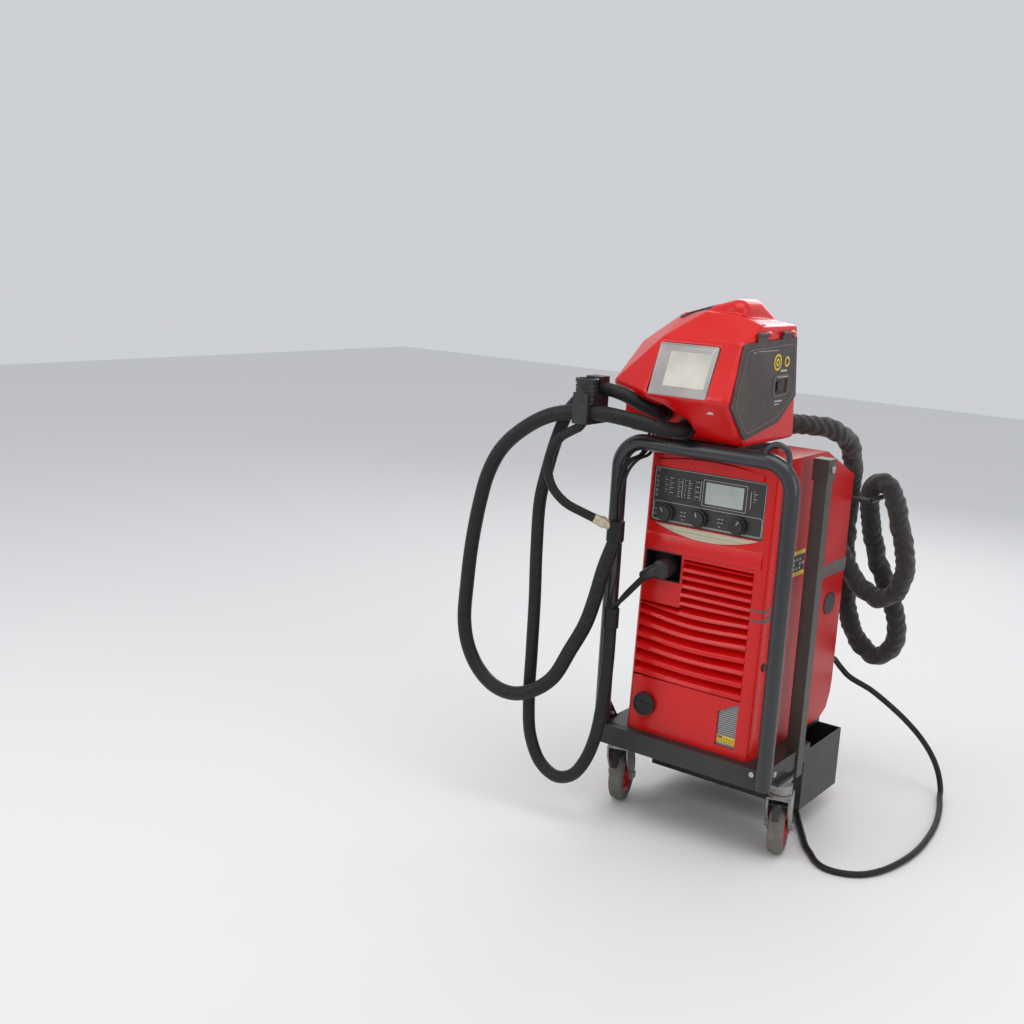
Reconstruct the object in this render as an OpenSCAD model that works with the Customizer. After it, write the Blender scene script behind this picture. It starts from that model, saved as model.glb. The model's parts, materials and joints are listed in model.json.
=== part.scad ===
/* [Power source] */
// Width of the power source
source_w = 300; // [280:2:310]
// Height of its underside above the floor
source_bottom = 222; // [210:1:240]
// Height of its top above the floor
source_top = 857; // [840:1:880]
// Lean of the front face, in degrees
face_lean = 2.16; // [0:0.02:3]
// Thickness of the sheet casing
sheet = 2; // [1.5:0.5:3]
// Outer diameter of a control knob
knob_d = 38; // [30:1:42]
// Number of slats in the short upper louvre
upper_slats = 6; // [4:1:6]
// Number of slats in the long lower louvre
lower_slats = 7; // [5:1:7]

/* [Trolley] */
// Distance between the two legs of the front tube frame
frame_w = 398; // [390:2:410]
// Outer diameter of the frame tube
frame_d = 34; // [28:1:36]
// Height of the centre of the frame's top bar
frame_top = 863; // [860:1:863]
// Width of the sheet tray
tray_w = 400; // [390:2:410]
// Side of the square rear posts
post_w = 30; // [25:1:32]

/* [Wheels] */
// Diameter of all four wheels
wheel_d = 125; // [110:1:125]
// Width of a tyre
tyre_w = 34; // [28:1:36]
// Distance of a front caster's centre from the middle plane
caster_x = 200; // [190:1:202]
// Trail of a front caster behind its swivel
caster_trail = 30; // [28:1:32]
// Distance of a rear wheel's centre from the middle plane
rear_x = 110; // [105:1:112]

/* [Wire feeder] */
// Left side of the feeder
feeder_x0 = -199; // [-205:1:-190]
// Right side of the feeder
feeder_x1 = 83; // [80:1:90]
// Thickness of its moulded wall
feeder_wall = 5; // [4:1:6]
// Diameter of the wire spool
spool_d = 200; // [160:5:200]

/* [Hoses] */
// Diameter of the main conduit
main_d = 32; // [28:1:34]
// Diameter of the second conduit
second_d = 28; // [24:1:30]
// Diameter of the small lead
small_d = 20; // [16:1:22]
// Diameter of the mains cable
mains_d = 14; // [12:1:16]
// Diameter of the sleeved hose pack
pack_d = 50; // [44:1:54]

/* [Hidden] */
$fn = 48;

// The origin is on the floor under the middle of the machine; the modules below
// measure y from the foot of the power source's front face.
front_y = -216.29;
side_x = 4.68;
caster_turn = 16;
half_w = source_w / 2;
inner_w = half_w - sheet;
source_back = 418;
leg_y = -22;
tube_r = frame_d / 2;
bend_r = 60;
wheel_r = wheel_d / 2;
swivel_y = 70;
axle_y = swivel_y + caster_trail;
fork_gap = tyre_w / 2 + 4;
axle_r = 5;
kingpin_r = 6;
post_x = 174;
running = 0.05;
rear_axle_y = 472;
rear_axle_r = 8;
knob_x = [-101, -21, 70];
knob_s = 491;
shaft_r = 3;
cap_x = -106;
cap_s = 63;
fan_x = 0;
fan_z = 520;
fan_shaft_r = 4;
gas_x = -60;
gas_z = 340;
switch_x = -90;
switch_z = 700;
pack_x = 60;
pack_z = 650;
gland_x = 130;
gland_z = 341;
spool_x = 10;
spool_y = 105;
spool_z = 1000;
spool_axle_r = 12;
roll_x = -82;
roll_y = 60;
roll_z = 975;
roll_r = 15;
roll_shaft_r = 4;
hinge_z = 1106;
window_x = -34;

module place() translate([side_x, front_y, 0]) children();
module on_face() translate([0, 0, source_bottom]) rotate([-face_lean, 0, 0]) children();
module span(x0, x1, y0, y1, z0, z1) translate([x0, y0, z0]) cube([x1 - x0, y1 - y0, z1 - z0]);
module rod_x(x0, x1, y, z, r) translate([x0, y, z]) rotate([0, 90, 0]) cylinder(h = x1 - x0, r = r);
module rod_y(y0, y1, x, z, r) translate([x, y1, z]) rotate([90, 0, 0]) cylinder(h = y1 - y0, r = r);
module rod_z(z0, z1, x, y, r) translate([x, y, z0]) cylinder(h = z1 - z0, r = r);
// a side outline in (y, z) carried across from x0 to x1
module side_prism(x0, x1) translate([x0, 0, 0]) rotate([90, 0, 90]) linear_extrude(x1 - x0) children();
// a front outline in (x, z) carried back from y0 to y1
module front_prism(y0, y1) translate([0, y1, 0]) rotate([90, 0, 0]) linear_extrude(y1 - y0) children();
module both() { children(); mirror([1, 0, 0]) children(); }
module round_rect(w, h, r) {
  square([w - 2 * r, h], center = true);
  square([w, h - 2 * r], center = true);
  for (sx = [-1, 1], sy = [-1, 1]) translate([sx * (w / 2 - r), sy * (h / 2 - r)]) circle(r);
}

// ---- trolley ----
module trolley_tray() place() color("#26262a") {
  difference() {
    union() {
      span(-203, 197, -24, 205, 219, 222);
      span(-203, 186, -26, -22, 177, 222);
      both() {
        span(-tray_w / 2, 3 - tray_w / 2, -24, 205, 182, 222);
        span(-212, -150, 30, 105, 176, 182);
        span(-153, -150, 30, 105, 182, 219);
      }
      side_prism(-tray_w / 2, 3 - tray_w / 2) gusset();
    }
    both() span(-210, -post_x + 0.1, 134.9, 135.1 + post_w, 170, 230);
    rod_x(-tray_w / 2 - 5, -tray_w / 2 + 10, 10, 236, 4);
    rod_z(170, 230, frame_w / 2, leg_y, tube_r);
  }
}
module gusset() polygon([[-4, 219], [90, 219], [40, 224], [8, 266], [-4, 266]]);
module frame_leg(bottom) {
  rod_z(bottom, frame_top - bend_r, -frame_w / 2, leg_y, tube_r);
  translate([-frame_w / 2 + bend_r, leg_y, frame_top - bend_r]) rotate([90, 0, 0])
    rotate_extrude(angle = 90, start = 90) translate([bend_r, 0]) circle(tube_r);
}
module frame_tube() place() color("#4a4d52") {
  frame_leg(222);
  mirror([1, 0, 0]) frame_leg(183);
  rod_x(-frame_w / 2 + bend_r, frame_w / 2 - bend_r, leg_y, frame_top, tube_r);
  hook_loop();
}
module hook_loop() {
  hook_r = 26;
  rod_z(frame_top + 5, 872, 135, leg_y, 6);
  translate([135 + hook_r, leg_y, 872]) rotate([90, 0, 0])
    rotate_extrude(angle = 180) translate([hook_r, 0]) circle(6);
  rod_z(836, 872, 135 + 2 * hook_r, leg_y, 6);
}
module rear_posts() place() color("#3a3835") both() {
  difference() {
    span(post_x, post_x + post_w, 135, 135 + post_w, 160, 812);
    span(post_x + 2, post_x + post_w - 2, 137, 133 + post_w, 150, 820);
  }
  span(post_x - 3, post_x + post_w + 3, 131, 139 + post_w, 812, 858);
}
module rear_box() place() color("#2b2927") {
  difference() {
    span(-190, 190, 205, 405, 58, 197);
    span(-188, 188, 207, 403, 60, 210);
  }
  both() span(105, 135, 205, 405, 197, 222);
  both() side_prism(70, 75) difference() {
    union() {
      polygon([[405, 62], [405, 150], [430, 150], [rear_axle_y + 14, 70], [rear_axle_y + 14, wheel_r]]);
      translate([rear_axle_y, wheel_r]) circle(14);
    }
    translate([rear_axle_y, wheel_r]) circle(rear_axle_r);
  }
}
module frame_bolts() place() color("silver") {
  rod_x(-tray_w / 2 - 5, -tray_w / 2, 10, 236, 7);
  rod_x(-tray_w / 2, -tray_w / 2 + 12, 10, 236, 3.9);
  rod_y(-29.5, -26, 174, 211, 6);
  both() rod_x(post_x + post_w + 3, post_x + post_w + 7, 150, 837, 8);
  both() rod_x(tray_w / 2, tray_w / 2 + 4, 24, 204, 7);
}

// ---- casters and wheels ----
module caster_plates() place() color("#8d8a84") both() difference() {
  union() {
    span(-caster_x - 12, -caster_x + 48, 30, 102, 170, 176);
    rod_z(149, 170, -caster_x, swivel_y, 24);
  }
  rod_z(140, 169, -caster_x, swivel_y, kingpin_r + running);
}
module fork() color("#7d7a75") {
  rod_z(143, 148.7, 0, swivel_y, 27);
  rod_z(148.7, 166, 0, swivel_y, kingpin_r);
  span(-fork_gap - 4, fork_gap + 4, swivel_y - 26, swivel_y + 40, 139, 143);
  for (x = [-fork_gap - 4, fork_gap]) side_prism(x, x + 4) difference() {
    union() {
      polygon([[swivel_y - 24, 139], [swivel_y - 24, 118], [axle_y - 14, wheel_r - 4],
               [axle_y + 14, wheel_r - 4], [swivel_y + 40, 128], [swivel_y + 40, 139]]);
      translate([axle_y, wheel_r]) circle(15);
    }
    translate([swivel_y - 14, 124]) circle(3 + running);
  }
  rod_x(-fork_gap - 9, fork_gap + 9, axle_y, wheel_r, axle_r);
  for (x = [-fork_gap - 10, fork_gap + 4]) rod_x(x, x + 6, axle_y, wheel_r, 9);
}
module wheel_hub(bore_r) rotate([0, 90, 0]) difference() {
  rotate_extrude() polygon([
    [bore_r, -tyre_w / 2 - 2], [bore_r + 9, -tyre_w / 2 - 2], [bore_r + 11, -6], [38, -6], [41, -14],
    [46, -14], [46, 14], [41, 14], [38, 6], [bore_r + 11, 6], [bore_r + 9, tyre_w / 2 + 2], [bore_r, tyre_w / 2 + 2]]);
  for (a = [0:72:359]) rotate([0, 0, a]) translate([27, 0, -20]) cylinder(h = 40, r = 6);
}
module wheel_tyre() rotate([0, 90, 0]) rotate_extrude() polygon([
  [46, -tyre_w / 2], [wheel_r - 8, -tyre_w / 2], [wheel_r - 2, 3 - tyre_w / 2], [wheel_r, 8 - tyre_w / 2],
  [wheel_r, tyre_w / 2 - 8], [wheel_r - 2, tyre_w / 2 - 3], [wheel_r - 8, tyre_w / 2], [46, tyre_w / 2]]);
module brake_pedal() color("#1c1c1e") {
  rod_x(-fork_gap - 4, fork_gap + 4, swivel_y - 14, 124, 3);
  span(-8, 8, swivel_y - 22, swivel_y - 10, 124, 130);
  side_prism(-8, 8) polygon([[swivel_y - 22, 125], [swivel_y - 22, 130], [22, 106], [19, 102]]);
}
module at_caster(side) place() translate([side * caster_x, swivel_y, 0]) rotate([0, 0, caster_turn])
  translate([0, -swivel_y, 0]) children();
module at_front_axle(side) at_caster(side) translate([0, axle_y, wheel_r]) children();
module at_axle(x, y) place() translate([x, y, wheel_r]) children();
module fork_left() at_caster(-1) fork();
module fork_right() at_caster(1) fork();
module brake_left() at_caster(-1) brake_pedal();
module brake_right() at_caster(1) brake_pedal();
module hub_left() at_front_axle(-1) color("#a32118") wheel_hub(axle_r + running);
module hub_right() at_front_axle(1) color("#a32118") wheel_hub(axle_r + running);
module tyre_left() at_front_axle(-1) color("#75726c") wheel_tyre();
module tyre_right() at_front_axle(1) color("#75726c") wheel_tyre();
module rear_axle() place() color("silver") {
  rod_x(-rear_x - 22, rear_x + 22, rear_axle_y, wheel_r, rear_axle_r);
  both() rod_x(rear_x + 22, rear_x + 26, rear_axle_y, wheel_r, 12);
}
module rear_hub_left() at_axle(-rear_x, rear_axle_y) color("#a32118") wheel_hub(rear_axle_r + running);
module rear_hub_right() at_axle(rear_x, rear_axle_y) color("#a32118") wheel_hub(rear_axle_r + running);
module rear_tyre_left() at_axle(-rear_x, rear_axle_y) color("#75726c") wheel_tyre();
module rear_tyre_right() at_axle(rear_x, rear_axle_y) color("#75726c") wheel_tyre();

// ---- power source ----
// the casing's side outline; in moves every edge inwards
module casing_outline() polygon([
  [60, source_bottom], [366, source_bottom], [398, 238], [414, 272], [source_back, 300],
  [source_back, 789], [255, source_top], [60, source_top]]);
module source_chassis() place() color("#3b3d40") {
  span(-inner_w, inner_w, 60, 366, source_bottom, source_bottom + 3);
  both() span(-inner_w, 2 - inner_w, 62, 360, source_bottom + 3, source_bottom + 25);
}
module source_cover() place() color("#c81e12") difference() {
  side_prism(-half_w, half_w) casing_outline();
  side_prism(-half_w + sheet, half_w - sheet)
    polygon([[50, 200], [430, 200], [430, 781.8], [source_back, 786.8], [254.6, 854.8], [50, 854.8]]);
}
module source_rear() place() color("#b81a10") difference() {
  union() {
    side_prism(-inner_w, inner_w) polygon([
      [366, 222], [398, 238], [414, 272], [source_back, 300], [source_back, 786],
      [415, 786], [415, 301], [411, 274], [396, 241], [366, 225.5]]);
    fan_spider();
  }
  rod_y(400, 430, gland_x, gland_z, 10);
  rod_y(400, 430, switch_x, switch_z, shaft_r + running);
  rod_y(400, 430, gas_x, gas_z, 6.6);
  for (z = [-72:18:72], x = [-84, 30]) span(fan_x + x, fan_x + x + 54, 410, 425, fan_z + z - 4, fan_z + z + 4);
}
module fan_spider() difference() {
  rod_y(400, 415, fan_x, fan_z, 22);
  rod_y(399, 416, fan_x, fan_z, fan_shaft_r + running);
}
module face_plan() {
  r = 11;
  translate([-half_w + r, 0]) square([source_w - 2 * r, 60]);
  translate([-half_w, r]) square([source_w, 60 - r]);
  for (s = [-1, 1]) translate([s * (half_w - r), r]) circle(r);
}
module slat_region(inset) {
  polygon([
    [-142 + inset, 123 + inset], [118 - inset, 123 + inset], [118 - inset, 399 - inset],
    [-46 + inset, 399 - inset], [-46 + inset, 292 - inset], [-142 + inset, 292 - inset]]);
}
module window_region(inset) {
  polygon([[70 + inset, 18 + inset], [116 - inset, 18 + inset], [116 - inset, 118 - inset], [70 + inset, 92 - inset]]);
}
module recess_region(inset) {
  translate([-96, 375]) square([90 - 2 * inset, 62 - 2 * inset], center = true);
}
module panel_region(inset) {
  translate([-6, 529]) round_rect(266 - 2 * inset, 120 - 2 * inset, 4);
}
// extrudes a face outline from depth y0 to depth y1 behind the face
module in_face(y0, y1) translate([0, y1, 0]) rotate([90, 0, 0]) linear_extrude(y1 - y0) children();
module brow() {
  rise = 15;
  r = (135 * 135 + rise * rise) / (2 * rise);
  intersection() {
    translate([-6, 604 - r]) difference() {
      circle(r + 10, $fn = 240);
      circle(r, $fn = 240);
    }
    translate([-131, 580]) square([250, 40]);
  }
}
module front_moulding() on_face() {
  difference() {
    translate([0, 0, -10]) linear_extrude(660) face_plan();
    span(-half_w + 6, half_w - 6, 9, 90, 9, 627);
    in_face(-1, 20) slat_region(0);
    in_face(-1, 20) window_region(0);
    in_face(-1, 20) recess_region(0);
    in_face(-1, 6) panel_region(0);
    for (x = knob_x) rod_y(-1, 20, x, knob_s, 8);
    rod_y(-1, 20, cap_x, cap_s, 22);
  }
  in_face(-5, 0) brow();
}
module source_front() place() color("#d42015") intersection() {
  front_moulding();
  span(-200, 200, -20, 60, source_bottom, source_top);
}
module slat(x0, x1, s, pitch) side_prism(x0, x1)
  polygon([[7, s], [1.5, s + pitch * 0.2], [1.5, s + pitch * 0.45], [7, s + pitch * 0.8]]);
module louvre_panel() place() color("#cc2014") on_face() {
  in_face(7, 9) slat_region(0.1);
  for (i = [0:upper_slats - 1]) slat(-45.5, 117.5, 294 + i * 17.5, 17.5);
  for (i = [0:lower_slats - 1]) slat(-141.5, 117.5, 124 + i * 24, 24);
}
module control_panel() place() color("#3c3d3f") on_face() difference() {
  in_face(3, 6) panel_region(0.1);
  for (x = knob_x) rod_y(0, 20, x, knob_s, shaft_r + running);
}
module display() place() color("#b9c2bb") on_face()
  in_face(2.2, 3) translate([31, 547]) round_rect(88, 46, 2);
module silver_trim() place() color("#c9b98f") on_face() in_face(-2.5, 0) intersection() {
  translate([-1, 468 + 316]) circle(340, $fn = 180);
  translate([-126, 430]) square([250, 37]);
}
module knob(i) place() color("#2a2b2d") on_face() {
  rod_y(-14, 2.5, knob_x[i], knob_s, knob_d / 2 - 3);
  rod_y(-6, 2.5, knob_x[i], knob_s, knob_d / 2);
  rod_y(2.5, 20, knob_x[i], knob_s, shaft_r);
}
module knob_left() knob(0);
module knob_middle() knob(1);
module knob_right() knob(2);
module socket_recess() place() color("#1b1b1d") on_face() {
  difference() {
    in_face(1, 45) recess_region(0.1);
    in_face(0, 43) recess_region(2.5);
    rod_y(40, 50, -84, 374, 7);
  }
  difference() {
    rod_y(-10, 43, -84, 374, 20);
    rod_y(-11, 50, -84, 374, 7);
  }
  rod_y(10, 43, -125, 360, 11);
}
module filler_cap() place() color("#222224") on_face() {
  rod_y(-9, -0.1, cap_x, cap_s, 26);
  rod_y(-0.1, 20, cap_x, cap_s, 22 - running);
}
module level_window() place() color("#8c8f92") on_face() in_face(4, 8.9) window_region(0.1);
module side_plugs() place() color("#2c2a29") {
  translate([half_w, 350, 500]) rotate([90, 0, 90]) linear_extrude(2) round_rect(60, 50, 24.5);
  rod_x(half_w, half_w + 3, 32, 423, 9);
}
module mains_switch() place() color("#1d1d20") {
  rod_y(source_back + 1, source_back + 9, switch_x, switch_z, 20);
  span(switch_x - 5, switch_x + 5, source_back + 9, source_back + 22, switch_z - 18, switch_z + 18);
  rod_y(405, source_back + 1, switch_x, switch_z, shaft_r);
}
module cable_gland() place() color("#202022") {
  difference() {
    union() {
      rod_y(source_back, source_back + 12, gland_x, gland_z, 15);
      rod_y(404, source_back, gland_x, gland_z, 9.95);
      translate([gland_x, source_back + 12, gland_z]) rotate([-90, 0, 0]) cylinder(h = 24, r1 = 12, r2 = 9);
    }
    rod_y(400, 470, gland_x, gland_z, mains_d / 2);
  }
}
module cable_hanger() place() color("#38393c") {
  span(pack_x - 40, pack_x + 86, source_back, source_back + 4, pack_z - 30, pack_z + 110);
  rod_y(source_back + 4, source_back + 24, pack_x, pack_z, 24);
  rod_x(126, 190, source_back + 9, 732, 6);
  span(120, 134, source_back + 4, source_back + 12, 724, 740);
  rod_y(source_back + 10, 534, 190, 732, 6);
  rod_z(732, 760, 190, 528, 6);
}
module fan() place() color("#1e1e20") {
  rod_y(372, 396, fan_x, fan_z, 30);
  rod_y(396, 413, fan_x, fan_z, fan_shaft_r);
  for (a = [0:60:359]) translate([fan_x, 384, fan_z]) rotate([0, a, 0]) rotate([0, 0, 30])
    translate([-2, -10, 26]) cube([4, 20, 62]);
}
module coolant_tank() place() color("#9fb4c4") {
  span(-140, -30, 70, 320, 225, 350);
  rod_y(26, 70, cap_x, source_bottom + cap_s, 20);
}
module inverter_board() place() color("#2c5c3c") {
  span(-inner_w, inner_w, 75, 350, 372, 376);
  for (i = [0:11]) span(-115 + i * 20, -109 + i * 20, 100, 330, 376, 430);
}
module transformer() place() color("#6a4a2a") {
  span(10, 130, 100, 300, 225, 245);
  span(20, 120, 120, 280, 245, 340);
}

// ---- wire feeder ----
fx0 = feeder_x0;
fx1 = feeder_x1;
shell_r = 9;
// corners of the feeder's right side, its left side, its front middle and the hump, as (x, y, z)
right_corners = [[fx1, -20, 880], [fx1, -102, 968], [fx1, -50, 1092], [fx1, 20, 1128], [fx1, 192, 1124], [fx1, 222, 880]];
left_corners = [[fx0, 0, 880], [fx0, -74, 980], [fx0, 26, 1072], [fx0, 192, 1076], [fx0, 222, 880]];
middle_corners = [[-112, -102, 968], [-108, -50, 1092], [-125, 56, 1136], [-112, 192, 1122], [-30, 6, 1144], [30, 6, 1142]];
hump_balls = [[14, 52, 1145], [14, 110, 1145], [22, 178, 1108], [-46, 46, 1126], [-52, 150, 1104]];
module ball_at(p, r, inset) translate([
    p[0] - sign(p[0] + 58) * (r + inset),
    p[1] - sign(p[1] - 60) * (r + inset),
    p[2] - sign(p[2] - 1000) * (r + inset)]) sphere(r, $fn = 24);
module feeder_body(inset) hull()
  for (p = concat(right_corners, left_corners, middle_corners)) ball_at(p, shell_r, inset);
module feeder_hump() hull() for (p = hump_balls) translate(p) sphere(26, $fn = 32);
// the scoop in the right shoulder, above the side door
module shoulder_scoop() {
  rod_y(44, 250, 86, 1168, 47);
  translate([86, 44, 1168]) sphere(47);
}
// the recess under the nose that the hoses come out of
module hose_notch(grow) front_prism(-150, -18 + grow) polygon([
  [-230, 985 + grow], [-170, 976 + grow], [-120, 970 + grow], [-70 + grow, 954 + grow],
  [-26 + grow, 927 + grow], [-22 + grow, 884], [-22 + grow, 800], [-230, 800]]);
module front_slope() translate([0, -104, 962]) rotate([-22.6, 0, 0]) children();
// a plate on the sloping front, from depth y0 to depth y1 behind it
module on_slope(x, z, w, h, y0, y1) front_slope() translate([x, y1, z]) rotate([90, 0, 0])
  linear_extrude(y1 - y0) round_rect(w, h, 4);
module feeder_shell() place() color("#d62418") {
  difference() {
    union() {
      feeder_body(0);
      feeder_hump();
    }
    difference() {
      feeder_body(feeder_wall);
      hose_notch(feeder_wall);
    }
    hose_notch(0);
    shoulder_scoop();
    span(-108, -42, 34, 64, 1100, 1200);
    on_slope(window_x, 70, 133, 112, -20, 20);
    side_prism(fx1 - 20, fx1 + 20) door_outline(3);
  }
  for (y = [42, 152]) {
    rod_y(y, y + 18, fx1 + 5, hinge_z, 4);
    span(fx1, fx1 + 5, y, y + 18, hinge_z, hinge_z + 4);
  }
}
module door_outline(inset) polygon([
  [-50 + inset, 1085 - inset], [176 - inset, 1095 - inset], [196 - inset, 975 + inset / 2],
  [124 - inset / 2, 926 + inset], [-22 + inset / 2, 900 + inset], [-88 + inset, 966]]);
module feeder_mount() place() color("#2d2d30") {
  span(-150, 60, 10, 205, source_top, source_top + 8);
  rod_z(source_top + 8, 880, -58, 105, 60);
}
module feeder_window() place() color("#b4b8b6") on_slope(window_x, 70, 133, 112, 2, 5);
module feeder_display() place() color("#dcdcd0") on_slope(window_x + 6, 74, 96, 76, 5, 15);
module side_door() place() color("#4b4441") difference() {
  union() {
    side_prism(fx1, fx1 + 5) door_outline(-3);
    for (y = [0, 110]) {
      span(fx1 + 1, fx1 + 5, y, y + 41, 1090, hinge_z);
      rod_y(y, y + 41, fx1 + 5, hinge_z, 4);
    }
  }
  span(fx1 + 2, fx1 + 6, 96, 148, 984, 1012);
}
module door_latch() place() color("#1e1c1b") {
  span(fx1 + 2.1, fx1 + 7, 102, 126, 988, 1008);
}
module wire_spool() place() translate([spool_x, spool_y, spool_z]) rotate([0, 90, 0]) color("#2a2a2c") {
  difference() {
    union() {
      translate([0, 0, -27]) cylinder(h = 3, r = spool_d / 2 - 18);
      translate([0, 0, 24]) cylinder(h = 3, r = spool_d / 2 - 18);
      translate([0, 0, -24]) cylinder(h = 48, r = spool_d / 2 - 34);
    }
    translate([0, 0, -40]) cylinder(h = 80, r = spool_axle_r + running);
    for (a = [0:60:359], z = [-30, 20]) rotate([0, 0, a]) translate([40, 0, z]) cylinder(h = 10, r = 9);
  }
}
module drive_block() place() color("#8f9296") {
  span(-60, -54, 10, 195, 885, 1060);
  rod_x(-54, 46, spool_y, spool_z, spool_axle_r);
  span(roll_x - 14, -60, 30, 90, 930, 958);
  for (z = [roll_z, roll_z + 2 * roll_r]) rod_x(roll_x - 12, -60, roll_y, z, roll_shaft_r);
}
module drive_roll(z) place() translate([roll_x, roll_y, z]) rotate([0, 90, 0]) color("#b9b28a") difference() {
  translate([0, 0, -6]) cylinder(h = 12, r = roll_r - 0.1);
  translate([0, 0, -8]) cylinder(h = 16, r = roll_shaft_r + running);
}
module drive_roll_lower() drive_roll(roll_z);
module drive_roll_upper() drive_roll(roll_z + 2 * roll_r);

// ---- hoses and cables ----
main_route = [
  [-45, -30, 905], [-46, -50, 903], [-66, -92, 908], [-105, -126, 920], [-160, -145, 928], [-215, -150, 928],
  [-300, -150, 910], [-375, -150, 867], [-425, -150, 819], [-455, -150, 764], [-473, -150, 701],
  [-490, -150, 607], [-499, -150, 513], [-502, -150, 419], [-488, -150, 363], [-456, -150, 316],
  [-411, -150, 287], [-357, -150, 282], [-304, -148, 302], [-260, -138, 340], [-231, -120, 406],
  [-207, -105, 465], [-196, -92, 520], [-186, -78, 590], [-172, -65, 650]];
second_route = [
  [-100, -30, 930], [-101, -48, 934], [-122, -78, 948], [-155, -104, 968], [-198, -114, 975], [-242, -112, 957],
  [-280, -112, 917], [-306, -112, 854], [-325, -112, 786], [-339, -112, 718], [-341, -112, 606],
  [-338, -112, 494], [-338, -112, 378], [-338, -112, 261], [-328, -112, 180], [-297, -112, 125],
  [-254, -112, 105], [-213, -112, 119], [-183, -112, 157], [-164, -104, 215], [-156, -95, 295],
  [-158, -82, 390], [-166, -68, 460]];
small_route = [
  [-218, -150, 904], [-225, -150, 895], [-244, -150, 884], [-269, -150, 868], [-290, -150, 838], [-299, -148, 800], [-290, -142, 760],
  [-262, -130, 728], [-225, -110, 708], [-200, -90, 694]];
mains_route = [
  [130, 454, 341], [131, 470, 334], [140, 490, 312], [158, 507, 288], [204, 535, 259], [247, 562, 222],
  [280, 590, 185], [313, 615, 142], [338, 635, 97], [352, 652, 53], [362, 650, 18], [370, 625, 7],
  [390, 565, 7], [412, 478, 7], [425, 387, 7], [429, 299, 7], [421, 219, 7], [402, 149, 7],
  [376, 107, 7], [342, 86, 7], [309, 83, 7], [282, 98, 7], [260, 124, 7], [237, 150, 7], [208, 196, 7],
  [175, 250, 7], [140, 310, 7], [104, 366, 7], [66, 420, 7], [32, 490, 7], [6, 570, 7], [-7, 635, 7]];
pack_route = [
  [-20, 226, 905], [-14, 262, 902], [18, 312, 896], [58, 358, 894], [92, 402, 886], [112, 450, 860],
  [114, 494, 806], [106, 522, 740], [100, 536, 660], [100, 545, 580], [108, 550, 500], [120, 552, 430],
  [145, 555, 375], [185, 556, 340], [224, 556, 352], [243, 552, 396], [236, 549, 450], [214, 547, 500],
  [190, 542, 555], [172, 532, 615], [160, 520, 680], [158, 508, 732], [168, 502, 756], [190, 498, 765],
  [212, 495, 756], [224, 492, 732], [238, 490, 690], [256, 490, 635], [266, 490, 575], [252, 490, 522],
  [216, 489, 498], [174, 487, 512], [138, 484, 552], [106, 482, 600], [82, 476, 632], [67, 464, 647],
  [60, 448, 650], [60, 442, 650]];
lead_r = 16;
coil_y = 650;
coil_x = -95;
coil_inner = 62;
coil_cols = 2;
coil_rows = 4;

function unit(v) = v / norm(v);
function tangent(p, i) = unit(p[min(i + 1, len(p) - 1)] - p[max(i - 1, 0)]);
function lean_out(n, t) = unit(n - (n * t) * t);
// the ring directions, each turned as little as possible from the last
function ring_dirs(p, i, n) = i == len(p) ? [] :
  let (m = lean_out(n, tangent(p, i))) concat([m], ring_dirs(p, i + 1, m));
module tube(p, d, sides, first) {
  dirs = ring_dirs(p, 0, first);
  n = len(p);
  points = [for (i = [0:n - 1]) let (t = tangent(p, i), u = dirs[i], v = cross(t, u))
    for (k = [0:sides - 1]) p[i] + d / 2 * (cos(360 * k / sides) * u + sin(360 * k / sides) * v)];
  faces = concat(
    [[for (k = [0:sides - 1]) k]],
    [for (i = [0:n - 2], k = [0:sides - 1]) let (a = i * sides + k, b = i * sides + (k + 1) % sides)
      [a, a + sides, b + sides, b]],
    [[for (k = [sides - 1:-1:0]) (n - 1) * sides + k]]);
  polyhedron(points = points, faces = faces);
}
module main_hose() place() color("#1f1f20") tube(main_route, main_d, 10, [0, 0, 1]);
module second_hose() place() color("#1f1f20") tube(second_route, second_d, 10, [0, 0, 1]);
module small_hose() place() color("#1f1f20") tube(small_route, small_d, 10, [0, 1, 0]);
module mains_cable() place() color("#2a2724") tube(mains_route, mains_d, 8, [0, 0, 1]);
module hose_pack() place() color("#17150f") tube(pack_route, pack_d, 12, [0, 0, 1]);
module hose_clamp() place() color("#161617") difference() {
  union() {
    span(-230, -194, -172, -94, 904, 968);
    span(-230, -194, -128, -94, 968, 1000);
    rod_z(968, 986, -212, -150, 22);
  }
  rod_z(950, 1030, -212, -150, lead_r);
}
module conduit_boots() place() color("#242425") {
  rod_z(650, 694, -172, -65, main_d / 2 + 3);
  rod_z(460, 504, -166, -68, second_d / 2 + 3);
  rod_y(-30, -18, -45, 905, main_d / 2 + 4);
  rod_y(-30, -18, -100, 930, second_d / 2 + 4);
}
module mains_coil() place() color("#2a2724") translate([coil_x, coil_y, 0]) rotate_extrude()
  translate([coil_inner, 0]) square([coil_cols * mains_d, coil_rows * mains_d]);
module mains_plug() place() color("#7a1410") translate([coil_x - 100, coil_y, 0]) {
  rod_y(-56, 0, 0, 26, 12);
  rod_y(-116, -56, 0, 26, 26);
  for (a = [0:90:359]) translate([0, 0, 26]) rotate([0, a, 0]) rod_y(-134, -116, 11, 0, 3);
}

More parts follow.
